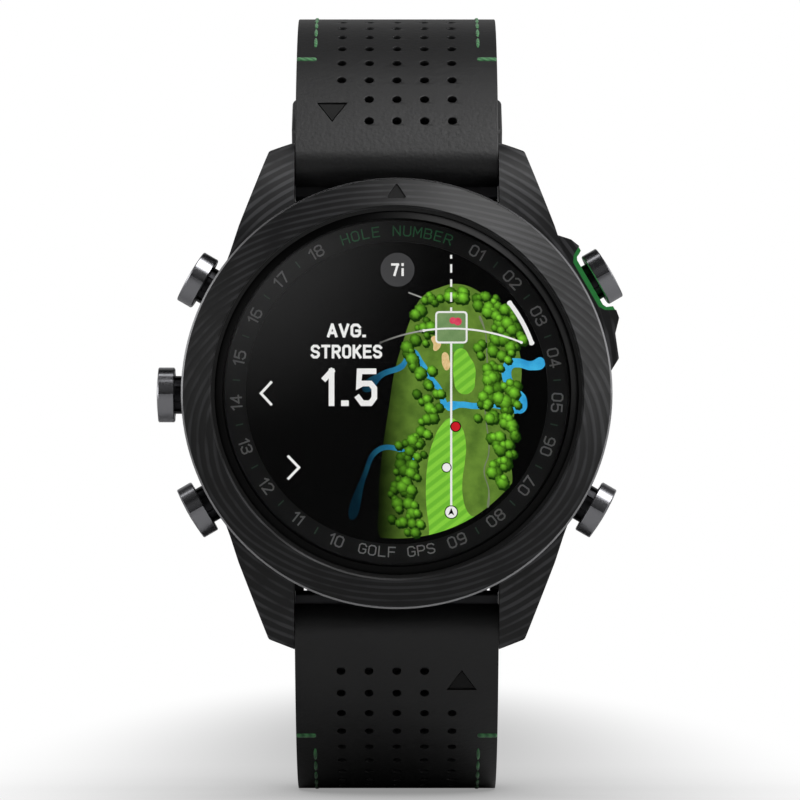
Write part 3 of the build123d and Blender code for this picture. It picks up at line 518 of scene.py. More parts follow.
numbers, ticks, letters, foot = [], [], [], []
for hole in range(1, 19):
    angle = dialPrint["firstAngle"] + dialPrint["step"] * (hole - 1)
    if hole > 9:
        angle = 360 - dialPrint["firstAngle"] - dialPrint["step"] * (18 - hole)
    numbers.append(aroundDial(angle, "%02d" % hole, dialPrint["number"], hole < 6 or hole > 13))
    if hole not in (9, 18):
        a = math.radians(angle + dialPrint["step"] / 2)
        mark = [(r * math.sin(a), r * math.cos(a) + dialPrint["lift"])
                for r in (dialPrint["tickFrom"], dialPrint["tickTo"])]
        ticks.append(ribbon(mark, dialPrint["tickWidth"], "dial", False))
for key, group, outwards in (("title", letters, True), ("foot", foot, False)):
    for i, letter in enumerate(dialPrint[key]):
        if letter != " ":
            offset = (i - (len(dialPrint[key]) - 1) / 2) * dialPrint[key + "Step"]
            group.append(aroundDial(offset if outwards else 180 - offset, letter, dialPrint["letter"], outwards))
for group, name, ink, colour in (
        (numbers, "dialNumbers", "greyPadPrintInk", "#a2a2a2"),
        (ticks, "dialTicks", "darkGreenPadPrintInk", "#46604f"),
        (letters, "dialTitle", "greenPadPrintInk", "#3f8f5c"),
        (foot, "dialFoot", "paleGreyPadPrintInk", "#c4c4c4")):
    finishPiece(joinPieces(group), name, printedInk(ink, colour), "case", 0)
print("dial printed")

course = {  # a golf hole seen from above; the player stands at its foot
    "reach": 15.9, "stripe": 0.9, "stripeAngle": 38,
    "rough": [
        (-1.4, -16.2), (-1.9, -11.7), (-1.7, -8.0), (-0.8, -1.5), (-0.2, 2.2), (0.6, 5.0), (1.7, 8.2), (2.7, 10.0),
        (4.5, 11.0), (6.6, 11.4), (8.9, 10.5), (10.7, 8.8), (12.1, 6.8), (12.9, 4.8), (13.3, 2.2), (13.0, -0.4),
        (12.3, -3.6), (12.1, -7.0), (12.2, -10.2), (11.2, -12.0), (8.0, -14.6), (4.0, -16.4), (1.0, -17.0)],
    "fairways": [
        [(7.1, 4.5), (7.8, 3.6), (8.3, 2.7), (8.35, 1.2), (8.1, 0.1), (7.25, -0.35), (6.4, 0.1), (6.1, 1.2),
         (6.05, 3.1), (6.3, 4.3)],
        [(5.75, -2.9), (6.8, -3.7), (7.35, -5.5), (7.25, -7.6), (7.0, -9.4), (7.05, -11.3), (7.5, -12.8),
         (8.8, -14.4), (6.5, -16.0), (4.0, -16.6), (3.4, -14.1), (3.1, -10.6), (3.4, -7.1), (3.9, -5.3),
         (4.7, -3.7)]],
    "green": [
        (6.0, 8.3), (7.0, 7.9), (7.5, 6.7), (7.2, 5.4), (6.9, 4.3), (6.2, 4.1), (5.6, 4.9), (4.9, 5.7),
        (4.7, 7.0), (5.1, 8.0)],
    "sand": [
        [(3.7, 5.7), (4.3, 5.8), (4.7, 5.3), (4.5, 4.5), (4.0, 4.3), (3.9, 5.0)],
        [(5.0, 4.1), (5.4, 4.0), (5.6, 3.3), (5.7, 2.7), (5.3, 2.2), (4.95, 2.6), (4.8, 3.3)]],
    "streams": [  # points and width
        ([(15.6, 3.1), (14.3, 2.7), (12.9, 3.0), (12.0, 2.8), (11.7, 1.7), (12.4, 0.2), (13.3, -0.9),
          (13.0, -2.2)], 0.95),
        ([(13.0, -2.0), (11.6, -1.7), (9.8, -1.45), (8.4, -1.6), (6.8, -1.45), (5.3, -1.7)], 0.65),
        ([(5.1, -1.7), (4.9, -0.9), (4.5, 0.2), (3.6, 1.4), (2.6, 3.0), (1.7, 4.0), (0.5, 2.6), (-1.5, 1.8),
          (-3.5, 0.1)], 0.6),
        ([(2.0, -7.4), (1.3, -6.9), (-0.1, -6.1), (-2.0, -6.3), (-3.4, -8.9), (-4.8, -13.6)], 0.5)],
    "pathWidth": 0.13,
    "path": [
        (8.8, 8.0), (9.4, 6.4), (9.6, 4.0), (9.6, 2.0), (9.3, -0.5), (9.5, -3.0), (9.8, -6.6), (9.3, -8.5),
        (9.8, -10.6), (9.7, -12.4)],
    "trees": {"seed": 11, "step": 0.4, "spread": 1.05, "small": 0.34, "large": 0.68},
    "treeLines": [
        [(2.6, 8.6), (2.9, 6.9), (1.9, 5.0), (2.4, 2.9), (3.3, 1.2), (3.0, -0.9), (3.0, -2.6), (2.6, -4.0),
         (2.1, -5.8), (1.4, -8.0), (1.2, -10.0), (1.2, -12.2), (1.5, -14.0), (1.6, -15.0)],
        [(3.0, 9.9), (4.5, 10.3), (5.8, 10.4), (7.4, 10.4), (8.6, 9.9)],
        [(9.3, 9.2), (10.8, 8.2), (10.4, 7.2), (11.7, 6.7), (10.5, 5.3), (12.2, 5.2), (11.4, 3.9), (10.7, 2.4),
         (10.4, 0.6), (11.3, -0.4), (10.6, -2.2), (11.6, -3.6), (10.8, -5.0), (11.5, -6.6), (11.1, -8.6),
         (11.4, -10.4)],
        [(8.8, 10.4), (10.2, 9.6), (11.6, 8.2), (12.2, 6.4), (12.5, 4.8)],
        [(9.4, 4.6), (9.3, 2.6), (9.8, 1.0), (9.3, -1.4), (9.6, -3.4)],
        [(12.1, 1.2), (11.9, -1.0), (12.0, -3.0), (11.9, -5.6), (11.6, -7.6), (11.5, -9.8)],
        [(3.9, 0.2), (3.7, -1.6)], [(1.4, -5.0), (0.6, -7.6), (0.2, -10.0), (0.4, -12.6), (0.6, -14.6)]],
}
markers = {  # centres, radii and line widths
    "player": (5.8, -12.9), "playerRadius": 0.62, "playerRim": 0.72,
    "ball": (5.3, -8.15), "ballRadius": 0.44, "ballRim": 0.54,
    "flag": (6.27, -3.8), "flagRadius": 0.47, "flagRim": 0.58, "reticle": (5.82, 6.78), "reticleHalf": 1.62,
    "reticleCorner": 0.3, "reticleLine": 0.2, "sightLine": 0.22, "chevronLine": 0.27,
    "distanceRadius": 19.55, "distanceLine": 0.19, "edgeRadius": 15.25, "edgeLine": 0.46, "badgeRadius": 1.8,
}
sightRuns = ((-12.3, 5.16), (8.5, 8.9), (9.5, 10.5), (11.1, 11.9), (12.6, 13.5), (14.1, 14.5))
chevrons = ([(-13.3, 1.0), (-14.45, -0.25), (-13.3, -1.5)], [(-11.6, -6.9), (-10.4, -8.15), (-11.6, -9.4)])
badgeCentre = (0.08, 12.93)
displayWords = [  # text, centre x and z, character width, height, stroke, gap, layer
    ("AVG.", -5.35, 6.45, 1.12, 1.46, 0.29, 0.13, "words"),
    ("STROKES", -5.35, 4.2, 0.96, 1.46, 0.28, 0.15, "words"),
    ("1.5", -5.0, 0.4, 2.3, 4.0, 0.6, 0.72, "words"),
    ("7i", *badgeCentre, 0.86, 1.36, 0.25, 0.24, "badgeWords"),
]


def walk(points, step):
    # evenly spaced places along a line of points
    places, carried = [], 0.0
    for (x1, z1), (x2, z2) in zip(points, points[1:]):
        run = math.dist((x1, z1), (x2, z2))
        while carried < run:
            share = carried / run
            places.append((x1 + (x2 - x1) * share, z1 + (z2 - z1) * share))
            carried += step
        carried -= run
    return places


def treeCanopies():
    # round canopies lit from the upper left, each a shallow fan with a lighter crown
    trees = course["trees"]
    pattern = startFrom(bpy.ops.mesh.primitive_circle_add, vertices=14, radius=1, fill_type="TRIFAN")
    shade = pattern.data.attributes.new("canopyShade", "FLOAT", "POINT")
    for index, vertex in enumerate(pattern.data.vertices):
        if vertex.co.length < 0.1:  # the crown, off centre towards the light
            vertex.co = (-0.22, 0.28, 0.05)
            shade.data[index].value = 1.0
        else:  # the scalloped rim
            vertex.co *= 1.07 if index % 2 else 0.93
            shade.data[index].value = 0.07 + 0.14 * max(0, vertex.co.y - vertex.co.x)
    shadowShade = 0.02
    random.seed(trees["seed"])
    canopies, shadows = [], []
    for line in course["treeLines"]:
        for x, z in walk(line, trees["step"]):
            x += random.uniform(-1, 1) * trees["spread"]
            z += random.uniform(-0.5, 0.5) * trees["spread"]
            radius = random.uniform(trees["small"], trees["large"])
            depth = random.random()
            if math.hypot(x, z) + radius > course["reach"] - pictureLift:
                continue
            bright = 0.3 + 0.7 * depth
            for group, lift, dx, dz, grow in (
                    (shadows, 0.0, 0.14, -0.2, 1.05), (canopies, 0.05 + 0.05 * depth, 0, 0, 1.0)):
                tree = pattern.copy()
                tree.data = pattern.data.copy()
                bpy.context.collection.objects.link(tree)
                tree.scale = (radius * grow * mm,) * 3
                tree.rotation_euler = (0, 0, random.uniform(-0.25, 0.25))
                tree.location = ((x + dx) * mm, (z + dz) * mm, lift * mm)
                for value in tree.data.attributes["canopyShade"].data:
                    value.value = shadowShade if group is shadows else value.value * bright
                group.append(tree)
    bpy.data.objects.remove(pattern)
    joined = joinPieces(shadows + canopies)
    applyPlace(joined)
    return standUp(joined, "trees")


def onDisplay(shape, name, light, dark, **look):
    # one layer of the picture, in its own display colours
    finishPiece(shape, name, displayInk(name, light, dark, **look), "case", 0)


def landShape(outlines, layer):
    # ground that reaches the edge of the display
    return flatShape(outlines, layer, True, course["reach"] - pictureLift)


onDisplay(landShape([course["rough"]], "rough"), "displayRough", "#6b8f36", "#4f6f28",
          size=1.6, fadeFrom=-2.2, fadeTo=2.8)
streams = [ribbon(points, width, "water") for points, width in course["streams"]]
onDisplay(joinPieces(streams), "displayWater", "#45bbe8", "#2f97d0", size=1.2, fadeFrom=-4.5, fadeTo=5.0)
onDisplay(ribbon(course["path"], course["pathWidth"], "path"), "displayPath", "#7c8768", "#69755a")
onDisplay(landShape(course["fairways"], "fairway"), "displayFairways", "#86cf3f", "#6fb935",
          pattern="stripes", size=course["stripe"])
onDisplay(flatShape([course["green"]], "green"), "displayGreen", "#5f9f3c", "#4d8a30", size=0.8)
onDisplay(flatShape(course["sand"], "sand"), "displaySand", "#ecd09a", "#d9b67a", size=0.4)
onDisplay(treeCanopies(), "displayTrees", "#8fe83c", "#082404", pattern="shade", fadeFrom=-3.5, fadeTo=3.2)

px, pz = markers["player"]
rx, rz = markers["reticle"]
straightHalf = markers["reticleHalf"] - markers["reticleCorner"]
frameLine = []
for cornerX, cornerZ, turn in ((1, 1, 0), (1, -1, 90), (-1, -1, 180), (-1, 1, 270)):
    frameLine += arcPoints(rx + cornerX * straightHalf, rz + cornerZ * straightHalf, markers["reticleCorner"],
                           turn, turn + 90, 3)
onDisplay(flatShape([frameLine], "target", False), "displayTarget", "#7f9c68", "#6f8f5c", size=1.0)
pin = [disc(rx + 0.15, rz + 0.72, 0.36, "pin"), disc(rx + 0.68, rz + 0.62, 0.42, "pin")]
onDisplay(joinPieces(pin), "displayPin", "#e2506a", "#cf3b55", size=0.5)

white = [ribbon(frameLine, markers["reticleLine"], "frame", False, True)]
for low, high in sightRuns:
    white.append(ribbon([(px, low), (px, high)], markers["sightLine"], "sightLine", False))
white.append(ribbon(arcPoints(px, pz, markers["distanceRadius"], -9, 22.8, 26), markers["distanceLine"],
                    "arc"))
white.append(ribbon(arcPoints(0, 0, markers["edgeRadius"], 51.5, 71, 14), markers["edgeLine"],
                    "frame"))
white.append(disc(px, pz, markers["playerRadius"], "dots"))
white.append(disc(*markers["ball"], markers["ballRadius"], "dots"))
for chevron in chevrons:
    white.append(ribbon(chevron, markers["chevronLine"], "words", False))
for words in displayWords:
    white.append(lettering(*words))
onDisplay(joinPieces(white), "displayWhite", "#f4f4f2", "#ececea", size=3.0)
grey = [ribbon(arcPoints(px, pz, markers["distanceRadius"], -23, -9, 12), 0.16, "arc"),
        ribbon([(1.25, 10.5), (2.7, 9.95)], 0.14, "words", False)]
onDisplay(joinPieces(grey), "displayGreyLine", "#b9b9b4", "#a0a09c", size=3.0, fadeFrom=-3.5, fadeTo=3)
onDisplay(disc(*badgeCentre, markers["badgeRadius"], "words"), "displayBadge", "#434344", "#3d3d3e",
          size=3.0)
rims = [disc(*markers[key], markers[key + "Rim"], "rims") for key in ("player", "ball", "flag")]
pointer = [(px, pz + 0.45), (px + 0.33, pz - 0.35), (px, pz - 0.14), (px - 0.33, pz - 0.35)]
rims.append(flatShape([pointer], "pointer", False))
onDisplay(joinPieces(rims), "displayBlack", "#0a0a0a", "#060606", size=3.0)
onDisplay(disc(*markers["flag"], markers["flagRadius"], "dots"), "displayRed", "#d5222d", "#c41a25",
          size=0.5)
print("display drawn")

# strap, made as flat strips that are bent round its line
strapShape = {
    "pinHeight": 4.2, "pinZ": 25.0, "endRadius": 3.0, "frontRadius": 29.8, "wrapAngle": -58,
    "width": 21.9, "endWidth": 19.9, "leather": 1.0, "skive": 0.1, "liningEdge": 0.2, "keeperEdge": 0.35,
}
perforation = {
    "radius": 0.5, "columns": (-6, -3, 0, 3, 6), "firstAngle": 33.4, "clearOfBuckle": 12, "clearOfTip": 52,
    "markX": -7.0, "markAlong": 0.55, "markWidth": 3.3, "markHeight": 2.7, "markDepth": 0.35,
    "inlayWidth": 2.8, "inlayHeight": 2.3, "inlayThickness": 0.16, "inlayZ": -0.24,
}
stitching = {
    "halfSize": (1.3, 0.2, 0.14), "spacing": 2.9, "fromCentre": 8.9, "lift": 0.02,
    "barSize": (0.72, 2.2, 1.1), "barAt": (0.75, 9.85, -0.42), "barEdge": 0.24,
}
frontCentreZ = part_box("upper_strap_leather")[1][2] / mm - strapShape["frontRadius"]
reach = strapShape["frontRadius"] - strapShape["endRadius"]
curveY = math.sqrt(reach ** 2 - (strapShape["pinZ"] - frontCentreZ) ** 2) - strapShape["pinHeight"]
leaveAngle = math.degrees(math.asin((strapShape["pinZ"] - frontCentreZ) / reach))
wrapLength = math.radians(leaveAngle - strapShape["wrapAngle"]) * strapShape["endRadius"]
frontLength = math.radians(90 - leaveAngle) * strapShape["frontRadius"]


def strapLine(name, rearRadius, straight):
    # the strap's outer line as a flat curve: local x is the watch's y, and local y is its z
    topZ = frontCentreZ + strapShape["frontRadius"]
    arcs = [
        (-strapShape["pinHeight"], strapShape["pinZ"], strapShape["endRadius"], strapShape["wrapAngle"],
         leaveAngle, 16),
        (curveY, frontCentreZ, strapShape["frontRadius"], leaveAngle, 90, 40),
        (curveY, topZ - rearRadius, rearRadius, 90, 180, 48),
    ]
    points = []
    for cy, cz, radius, start, end, steps in arcs:
        for step in range(steps + 1):
            a = math.radians(start + (end - start) * step / steps)
            point = (cy - radius * math.cos(a), cz + radius * math.sin(a))
            if not points or math.dist(point, points[-1]) > 1e-4:
                points.append(point)
    lastY, lastZ = points[-1]
    steps = max(2, round(straight))
    points += [(lastY, lastZ - straight * (i + 1) / steps) for i in range(steps)]
    curve = bpy.data.curves.new(name, "CURVE")
    curve.dimensions = "2D"
    spline = curve.splines.new("POLY")
    spline.points.add(len(points) - 1)
    for point, (y, z) in zip(spline.points, points):
        point.co = (y * mm, z * mm, 0, 1)
    line = bpy.data.objects.new(name, curve)
    bpy.context.collection.objects.link(line)
    return line


def bendOnto(piece, line, turned):
    # bends a flat strip (x along, y across, z out) round the strap's line and stands it in the watch
    piece.rotation_euler = (-math.pi / 2, 0, 0)
    applyPlace(piece)
    modifier = piece.modifiers.new("strapBend", "CURVE")
    modifier.object = line
    modifier.deform_axis = "POS_X"
    applyModifiers(piece)
    piece.rotation_euler = (math.pi / 2, 0, math.pi / 2)
    applyPlace(piece)
    if turned:
        piece.rotation_euler = (0, math.pi, 0)
        applyPlace(piece)


def widthAt(along, length):
    # the strap is full width to the top of its loop, then tapers
    top = wrapLength + frontLength
    share = max(0.0, along - top) / max(1.0, length - top)
    return strapShape["width"] + (strapShape["endWidth"] - strapShape["width"]) * share


def arrowPrism(width, height, depth, firstRow, rowPitch, z=0.0):
    # the arrow beside the second row, pointing along the strip
    prism = startFrom(bpy.ops.mesh.primitive_cylinder_add, vertices=3, radius=1, depth=depth * mm)
    prism.rotation_euler = (0, 0, math.pi / 2)
    applyPlace(prism)
    prism.scale = (height * mm / prism.dimensions.x, width * mm / prism.dimensions.y, 1)
    prism.location = ((firstRow + perforation["markAlong"] * rowPitch) * mm, -perforation["markX"] * mm, z * mm)
    applyPlace(prism)
    return prism


def strapLeather(length, rowPitch, roundTip, tailHoles, slot):
    # one flat strip of leather with its perforations and debossed arrow
    strip = startFrom(bpy.ops.mesh.primitive_plane_add, size=1)
    strip.scale = (length * mm, strapShape["width"] * mm, 1)
    strip.location = (length / 2 * mm, 0, 0)
    applyPlace(strip)
    firstRow = wrapLength + math.radians(perforation["firstAngle"] - leaveAngle) * strapShape["frontRadius"]
    rowCount = int((length - firstRow - perforation["clearOfBuckle" if slot else "clearOfTip"]) / rowPitch)
    cuts = [0.5 * i for i in range(1, 12)]
    cuts += [firstRow + (i + 0.25 * k) * rowPitch for i in range(-1, 60) for k in (-1, 1)]  # beside each row
    pick(strip)
    bpy.ops.object.mode_set(mode="EDIT")
    for cut in sorted(c for c in cuts if 0 < c < length - 0.3):
        bpy.ops.mesh.select_all(action="SELECT")
        bpy.ops.mesh.bisect(plane_co=(cut * mm, 0, 0), plane_no=(1, 0, 0))
    for cut in (-7.5, -4.5, -1.5, 1.5, 4.5, 7.5):  # between the columns
        bpy.ops.mesh.select_all(action="SELECT")
        bpy.ops.mesh.bisect(plane_co=(0, cut * mm, 0), plane_no=(0, 1, 0))
    bpy.ops.object.mode_set(mode="OBJECT")
    thick = strip.modifiers.new("leatherThickness", "SOLIDIFY")
    thick.thickness = strapShape["leather"] * mm
    thick.offset = -1
    applyModifiers(strip)

    punchDepth = 3 * mm
    punch = startFrom(bpy.ops.mesh.primitive_cylinder_add, vertices=14, radius=perforation["radius"] * mm,
                      depth=punchDepth)
    places = []
    for row in range(rowCount):
        for column in perforation["columns"]:
            if row < 2 and column == -6:
                continue
            places.append(((firstRow + row * rowPitch) * mm, -column * mm, 0, 0))
    punches = [copiesAt(punch, places)]
    punches.append(arrowPrism(perforation["markWidth"], perforation["markHeight"], 2 * perforation["markDepth"],
                              firstRow, rowPitch))
    for centre, radius in tailHoles:
        punches.append(startFrom(bpy.ops.mesh.primitive_cylinder_add, vertices=24, radius=radius * mm,
                                 depth=punchDepth, location=(centre * mm, 0, 0)))
        applyPlace(punches[-1])
    if slot:
        notch = startFrom(bpy.ops.mesh.primitive_cube_add, size=1, location=((length + 0.2) * mm, 0, 0))
        notch.scale = (8 * mm, slot * mm, punchDepth)
        applyPlace(notch)
        punches.append(notch)
    cutter = joinPieces(punches)
    punching = strip.modifiers.new("punching", "BOOLEAN")
    punching.operation = "DIFFERENCE"
    punching.solver = "EXACT"
    punching.object = cutter
    applyModifiers(strip)
    bpy.data.objects.remove(cutter)

    # taper, and the round tip of the tail
    for vertex in strip.data.vertices:
        along = vertex.co.x / mm
        scale = widthAt(along, length) / strapShape["width"]
        if roundTip and along > length - roundTip:
            scale *= 1 - 0.35 * (1 - math.sqrt(max(0, 1 - ((along - length + roundTip) / roundTip) ** 2)))
        vertex.co.y *= scale
    bevelEdges(strip, strapShape["skive"], 2)
    return strip, firstRow, rowCount


def strapThread(line, turned, firstRow, rowPitch, length):
    # green thread: a bar over each edge just past the fourth row, then a running stitch to the end
    stitch = startFrom(bpy.ops.mesh.primitive_uv_sphere_add, segments=10, ring_count=6, radius=1)
    stitch.scale = [size * mm for size in stitching["halfSize"]]
    applyPlace(stitch)
    places = []
    start = firstRow + 4 * rowPitch + 0.2
    for i in range(int((length - start - 3) / stitching["spacing"])):
        along = start + stitching["halfSize"][0] + stitching["spacing"] * i
        side = stitching["fromCentre"] * widthAt(along, length) / strapShape["width"]
        places += [(along * mm, sign * side * mm, stitching["lift"] * mm, 0) for sign in (1, -1)]
    threads = [copiesAt(stitch, places)]
    past, out, down = stitching["barAt"]
    for sign in (-1, 1):
        bar = startFrom(bpy.ops.mesh.primitive_cube_add, size=1,
                        location=((firstRow + 3 * rowPitch + past) * mm, sign * out * mm, down * mm))
        bar.scale = [size * mm for size in stitching["barSize"]]
        applyPlace(bar)
        bevelEdges(bar, stitching["barEdge"], 4)
        threads.append(bar)
    thread = joinPieces(threads)
    bendOnto(thread, line, turned)
    return thread


def grainedLeather():
    # chrome-tanned calf leather, pressed with a fine grain and finished nearly black
    material, tree, coords = newMaterial("blackGrainedLeather")
    grain = addNode(tree, "TexVoronoi", {"Vector": coords}, {"Scale": 1 / (0.45 * mm)},
                    feature="SMOOTH_F1")
    pores = addNode(tree, "TexNoise", {"Vector": coords}, {"Scale": 1 / (0.3 * mm), "Detail": 5})
    broad = addNode(tree, "TexNoise", {"Vector": coords}, {"Scale": 1 / (6 * mm), "Detail": 3})
    height = addNode(tree, "Math", {0: grain.outputs["Distance"], 1: pores.outputs["Fac"]}, operation="ADD")
    ramp = addNode(tree, "ValToRGB", {"Fac": broad.outputs["Fac"]})
    setRamp(ramp, (0.35, "#0f0f10"), (0.7, "#161617"))
    bump = addNode(tree, "Bump", {"Height": height}, {"Strength": 0.35, "Distance": 0.05 * mm})
    hide = addNode(tree, "BsdfPrincipled", {"Base Color": ramp.outputs["Color"], "Normal": bump},
                   {"Roughness": 0.48, "Specular IOR Level": 0.6})
    finishMaterial(tree, hide)
    return material


def twistedThread():
    # waxed polyester thread: fine diagonal twist every 0.4 mm
    material, tree, coords = newMaterial("greenWaxedThread")
    twist = addNode(tree, "TexWave", {"Vector": coords}, {"Scale": 2 * math.pi / (20 * 0.4 * mm)},
                    bands_direction="DIAGONAL")
    ramp = addNode(tree, "ValToRGB", {"Fac": twist.outputs["Fac"]})
    setRamp(ramp, (0.0, "#28643a"), (1.0, "#4f9a5b"))
    bump = addNode(tree, "Bump", {"Height": twist.outputs["Fac"]}, {"Strength": 0.3, "Distance": 0.03 * mm})
    fibre = addNode(tree, "BsdfPrincipled", {"Base Color": ramp.outputs["Color"], "Normal": bump},
                    {"Roughness": 0.55, "Sheen Weight": 0.3})
    finishMaterial(tree, fibre)
    return material


def mouldedPiece(node, name, body, edge):
    # a rubber piece in the frame's shape, with the rounded edges of its mould
    source = nodes[node]
    piece = source.copy()
    piece.data = source.data.copy()
    piece.parent = None
    for key in list(piece.keys()):
        del piece[key]
    bpy.context.collection.objects.link(piece)
    pick(piece)
    bpy.ops.object.mode_set(mode="EDIT")
    bpy.ops.mesh.select_all(action="SELECT")
    bpy.ops.mesh.remove_doubles(threshold=1e-6)
    bpy.ops.mesh.dissolve_limited(angle_limit=math.radians(0.5))
    bpy.ops.object.mode_set(mode="OBJECT")
    bevelEdges(piece, edge, 3)
    finishPiece(piece, name, strapRubber, body, 40)
    evenShading(piece)
    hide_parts(node)


def evenShading(piece):
    # large faces set the shading, so the cuts in them leave no marks
    piece.modifiers.new("evenShading", "WEIGHTED_NORMAL").keep_sharp = True
    applyModifiers(piece)


leather, thread = grainedLeather(), twistedThread()
straps = {
    "upper": {"rear": 25.0, "straight": 2.25, "pitch": 3.1, "tip": 0, "slot": 3.4},
    "lower": {"rear": 20.0, "straight": 29.7, "pitch": 2.97, "tip": 6.5, "slot": 0},
}
for side, shape in straps.items():
    turned = side == "lower"
    line = strapLine(side + "StrapLine", shape["rear"], shape["straight"])
    length = wrapLength + frontLength + math.pi / 2 * shape["rear"] + shape["straight"]
    tailHoles = [(length - 15 - 6.5 * i, 1.0) for i in range(6)] if turned else []
    strip, firstRow, rows = strapLeather(length, shape["pitch"], shape["tip"], tailHoles, shape["slot"])
    bendOnto(strip, line, turned)
    finishPiece(strip, side + "StrapLeather", leather, side + "_strap")
    evenShading(strip)
    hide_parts(side + "_strap_leather")
    arrow = arrowPrism(perforation["inlayWidth"], perforation["inlayHeight"], perforation["inlayThickness"],
                       firstRow, shape["pitch"], perforation["inlayZ"])
    bendOnto(arrow, line, turned)
    finishPiece(arrow, side + "StrapArrow", markerLacquer, side + "_strap", 30)
    seam = strapThread(line, turned, firstRow, shape["pitch"], length - (4 if shape["slot"] else 2))
    finishPiece(seam, side + "StrapThread", thread, side + "_strap", 60)
    bpy.data.objects.remove(line)

    mouldedPiece(side + "_strap_base", side + "StrapLining", side + "_strap", strapShape["liningEdge"])
    print(side, "strap made,", rows, "rows of perforations")

mouldedPiece("fixed_keeper", "fixedKeeperLoop", "upper_strap", strapShape["keeperEdge"])
mouldedPiece("sliding_keeper", "slidingKeeperLoop", "sliding_keeper", strapShape["keeperEdge"])
print("keepers made")

# stage, light and camera
stageSetup = {  # distances in millimetres; the frame shows "across" of them at the watch's face
    "distance": 600, "elevation": -2.0, "across": 800 / 9.39, "sensor": 36,
    "aimX": 0.35, "aimZ": -0.75, "faceHeight": 12.6,
}

floorZ = cadBox[0][2]
bpy.ops.object.select_all(action="DESELECT")
bpy.ops.mesh.primitive_plane_add(size=30, location=(0, 0, floorZ))
floor = bpy.context.object
floor.name = "studioFloor"
# the floor the camera sees is glowing white paper with a painted shadow in it; other rays see dim grey paper
paper, tree, coords = newMaterial("whitePaperFloorPaintedShadow")
seen = addNode(tree, "LightPath").outputs["Is Camera Ray"]
# painted contact shade: the glow darkens where ambient occlusion finds the watch close by
contact = addNode(tree, "AmbientOcclusion", None, {"Distance": 0.07}, samples=16)
paintedContactShade = addNode(tree, "MapRange", {"Value": contact.outputs["AO"]},
                      {"From Min": 0.25, "From Max": 1.0, "To Min": 0.45, "To Max": 1.0})
# painted long shadow: a soft elliptical fade drawn at a fixed place behind the watch, which does not follow the
# pose
spread = addNode(tree, "Mapping", {"Vector": coords},
                 {"Location": (0, -0.5, 0), "Scale": (28, 2.3, 0)})
away = addNode(tree, "VectorMath", {0: spread}, operation="LENGTH")
paintedLongShadow = addNode(tree, "MapRange", {"Value": away.outputs["Value"]},
                   {"From Min": 0.0, "From Max": 1.6, "To Min": 0.5, "To Max": 1.0},
                   interpolation_type="SMOOTHSTEP")
paintedFloorShadow = addNode(tree, "Math", {0: paintedContactShade, 1: paintedLongShadow}, operation="MULTIPLY")
paperGlowWithPaintedShadow = addNode(tree, "Emission", {"Strength": paintedFloorShadow}, {"Color": (1, 1, 1, 1)})
paperDim = addNode(tree, "BsdfDiffuse", None, {"Color": (0.45, 0.45, 0.45, 1)})
finishMaterial(tree, addNode(tree, "MixShader", {0: seen, 1: paperDim, 2: paperGlowWithPaintedShadow}))
floor.data.materials.append(paper)

world = bpy.data.worlds.new("studioWorld")
bpy.context.scene.world = world
world.use_nodes = True
tree = world.node_tree
tree.nodes.clear()
direction = addNode(tree, "TexCoord").outputs["Generated"]
axes = addNode(tree, "SeparateXYZ", {0: direction})
# dark in front and overhead, bright at both sides and low behind
across = addNode(tree, "Math", {0: axes.outputs["X"]}, operation="ABSOLUTE")
sides = addNode(tree, "MapRange", {"Value": across},
                {"From Min": 0.42, "From Max": 0.95, "To Min": 0.008, "To Max": 0.55})
rear = addNode(tree, "MapRange", {"Value": axes.outputs["Y"]},
               {"From Min": 0.55, "From Max": 1.0, "To Min": 0.0, "To Max": 0.5})
dimmed = addNode(tree, "Math", {0: sides, 1: rear}, operation="ADD")
# a wide dim card in front gives the turned buttons their grey band
card = addNode(tree, "MapRange", {"Value": axes.outputs["Y"]},
               {"From Min": -0.72, "From Max": -0.8, "To Min": 0.0, "To Max": 0.085})
gap = addNode(tree, "MapRange", {"Value": axes.outputs["Y"]},
              {"From Min": -0.96, "From Max": -0.985, "To Min": 1.0, "To Max": 0.05})
card = addNode(tree, "Math", {0: card, 1: gap}, operation="MULTIPLY")
dimmed = addNode(tree, "Math", {0: dimmed, 1: card}, operation="ADD")
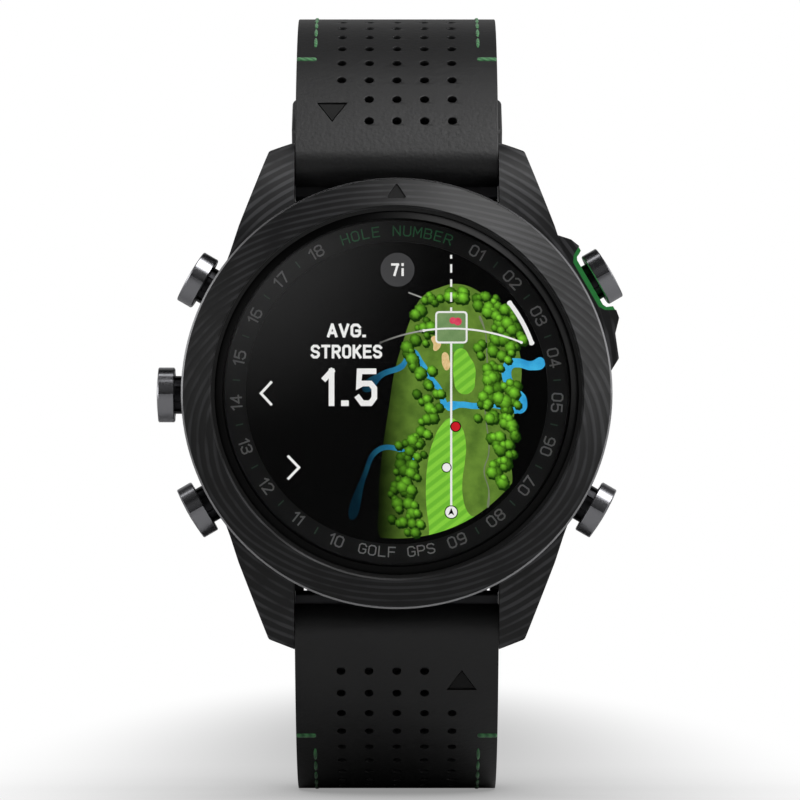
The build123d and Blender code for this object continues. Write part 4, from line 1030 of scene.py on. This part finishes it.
# a small pale panel in front, which the glass mirrors softly at its upper left
panelOffset = addNode(tree, "VectorMath", {0: direction}, {1: (-0.032, -0.997, 0.068)}, operation="DISTANCE")
panel = addNode(tree, "MapRange", {"Value": panelOffset.outputs["Value"]},
                {"From Min": 0.042, "From Max": 0.005, "To Min": 0.0, "To Max": 0.3},
                interpolation_type="SMOOTHSTEP")
dimmed = addNode(tree, "Math", {0: dimmed, 1: panel}, operation="ADD")
lightPath = addNode(tree, "LightPath").outputs["Is Camera Ray"]
strength = addNode(tree, "Mix", {"Factor": lightPath, "A": dimmed}, {"B": 1.0})
background = addNode(tree, "Background", {"Strength": strength.outputs["Result"]}, {"Color": (1, 1, 1, 1)})
addNode(tree, "OutputWorld", {"Surface": background})

lamps = {  # name: place, size and power of each soft box
    "topSoftbox": ((0.24, -0.26, 0.55), (0.5, 0.3), 2.3),
    "topStrip": ((0.0, 0.0, 0.6), (0.9, 0.12), 0.45),
    "leftStrip": ((-0.6, -0.02, 0.1), (0.15, 0.6), 0.8),
    "rightStrip": ((0.55, -0.12, 0.2), (0.2, 0.6), 1.4),
}
for name, (place, size, power) in lamps.items():
    lamp = bpy.data.lights.new(name, "AREA")
    lamp.shape = "RECTANGLE"
    lamp.size, lamp.size_y = size
    lamp.energy = power
    holder = bpy.data.objects.new(name, lamp)
    holder.location = place
    holder.rotation_euler = (Vector((0, 0, 0)) - Vector(place)).to_track_quat("-Z", "Y").to_euler()
    bpy.context.collection.objects.link(holder)

elevation = math.radians(stageSetup["elevation"])
lens = bpy.data.cameras.new("productCamera")
lens.sensor_width = stageSetup["sensor"]
lens.lens = stageSetup["sensor"] * stageSetup["distance"] / stageSetup["across"]
lens.clip_start, lens.clip_end = 0.01, 50
camera = bpy.data.objects.new("productCamera", lens)
camera.location = (stageSetup["aimX"] * mm,
                   -(stageSetup["faceHeight"] + stageSetup["distance"] * math.cos(elevation)) * mm,
                   (stageSetup["aimZ"] + stageSetup["distance"] * math.sin(elevation)) * mm)
camera.rotation_euler = (math.pi / 2 - elevation, 0, 0)
bpy.context.collection.objects.link(camera)
bpy.context.scene.camera = camera
bpy.context.scene.view_settings.view_transform = "Standard"
print("stage set")
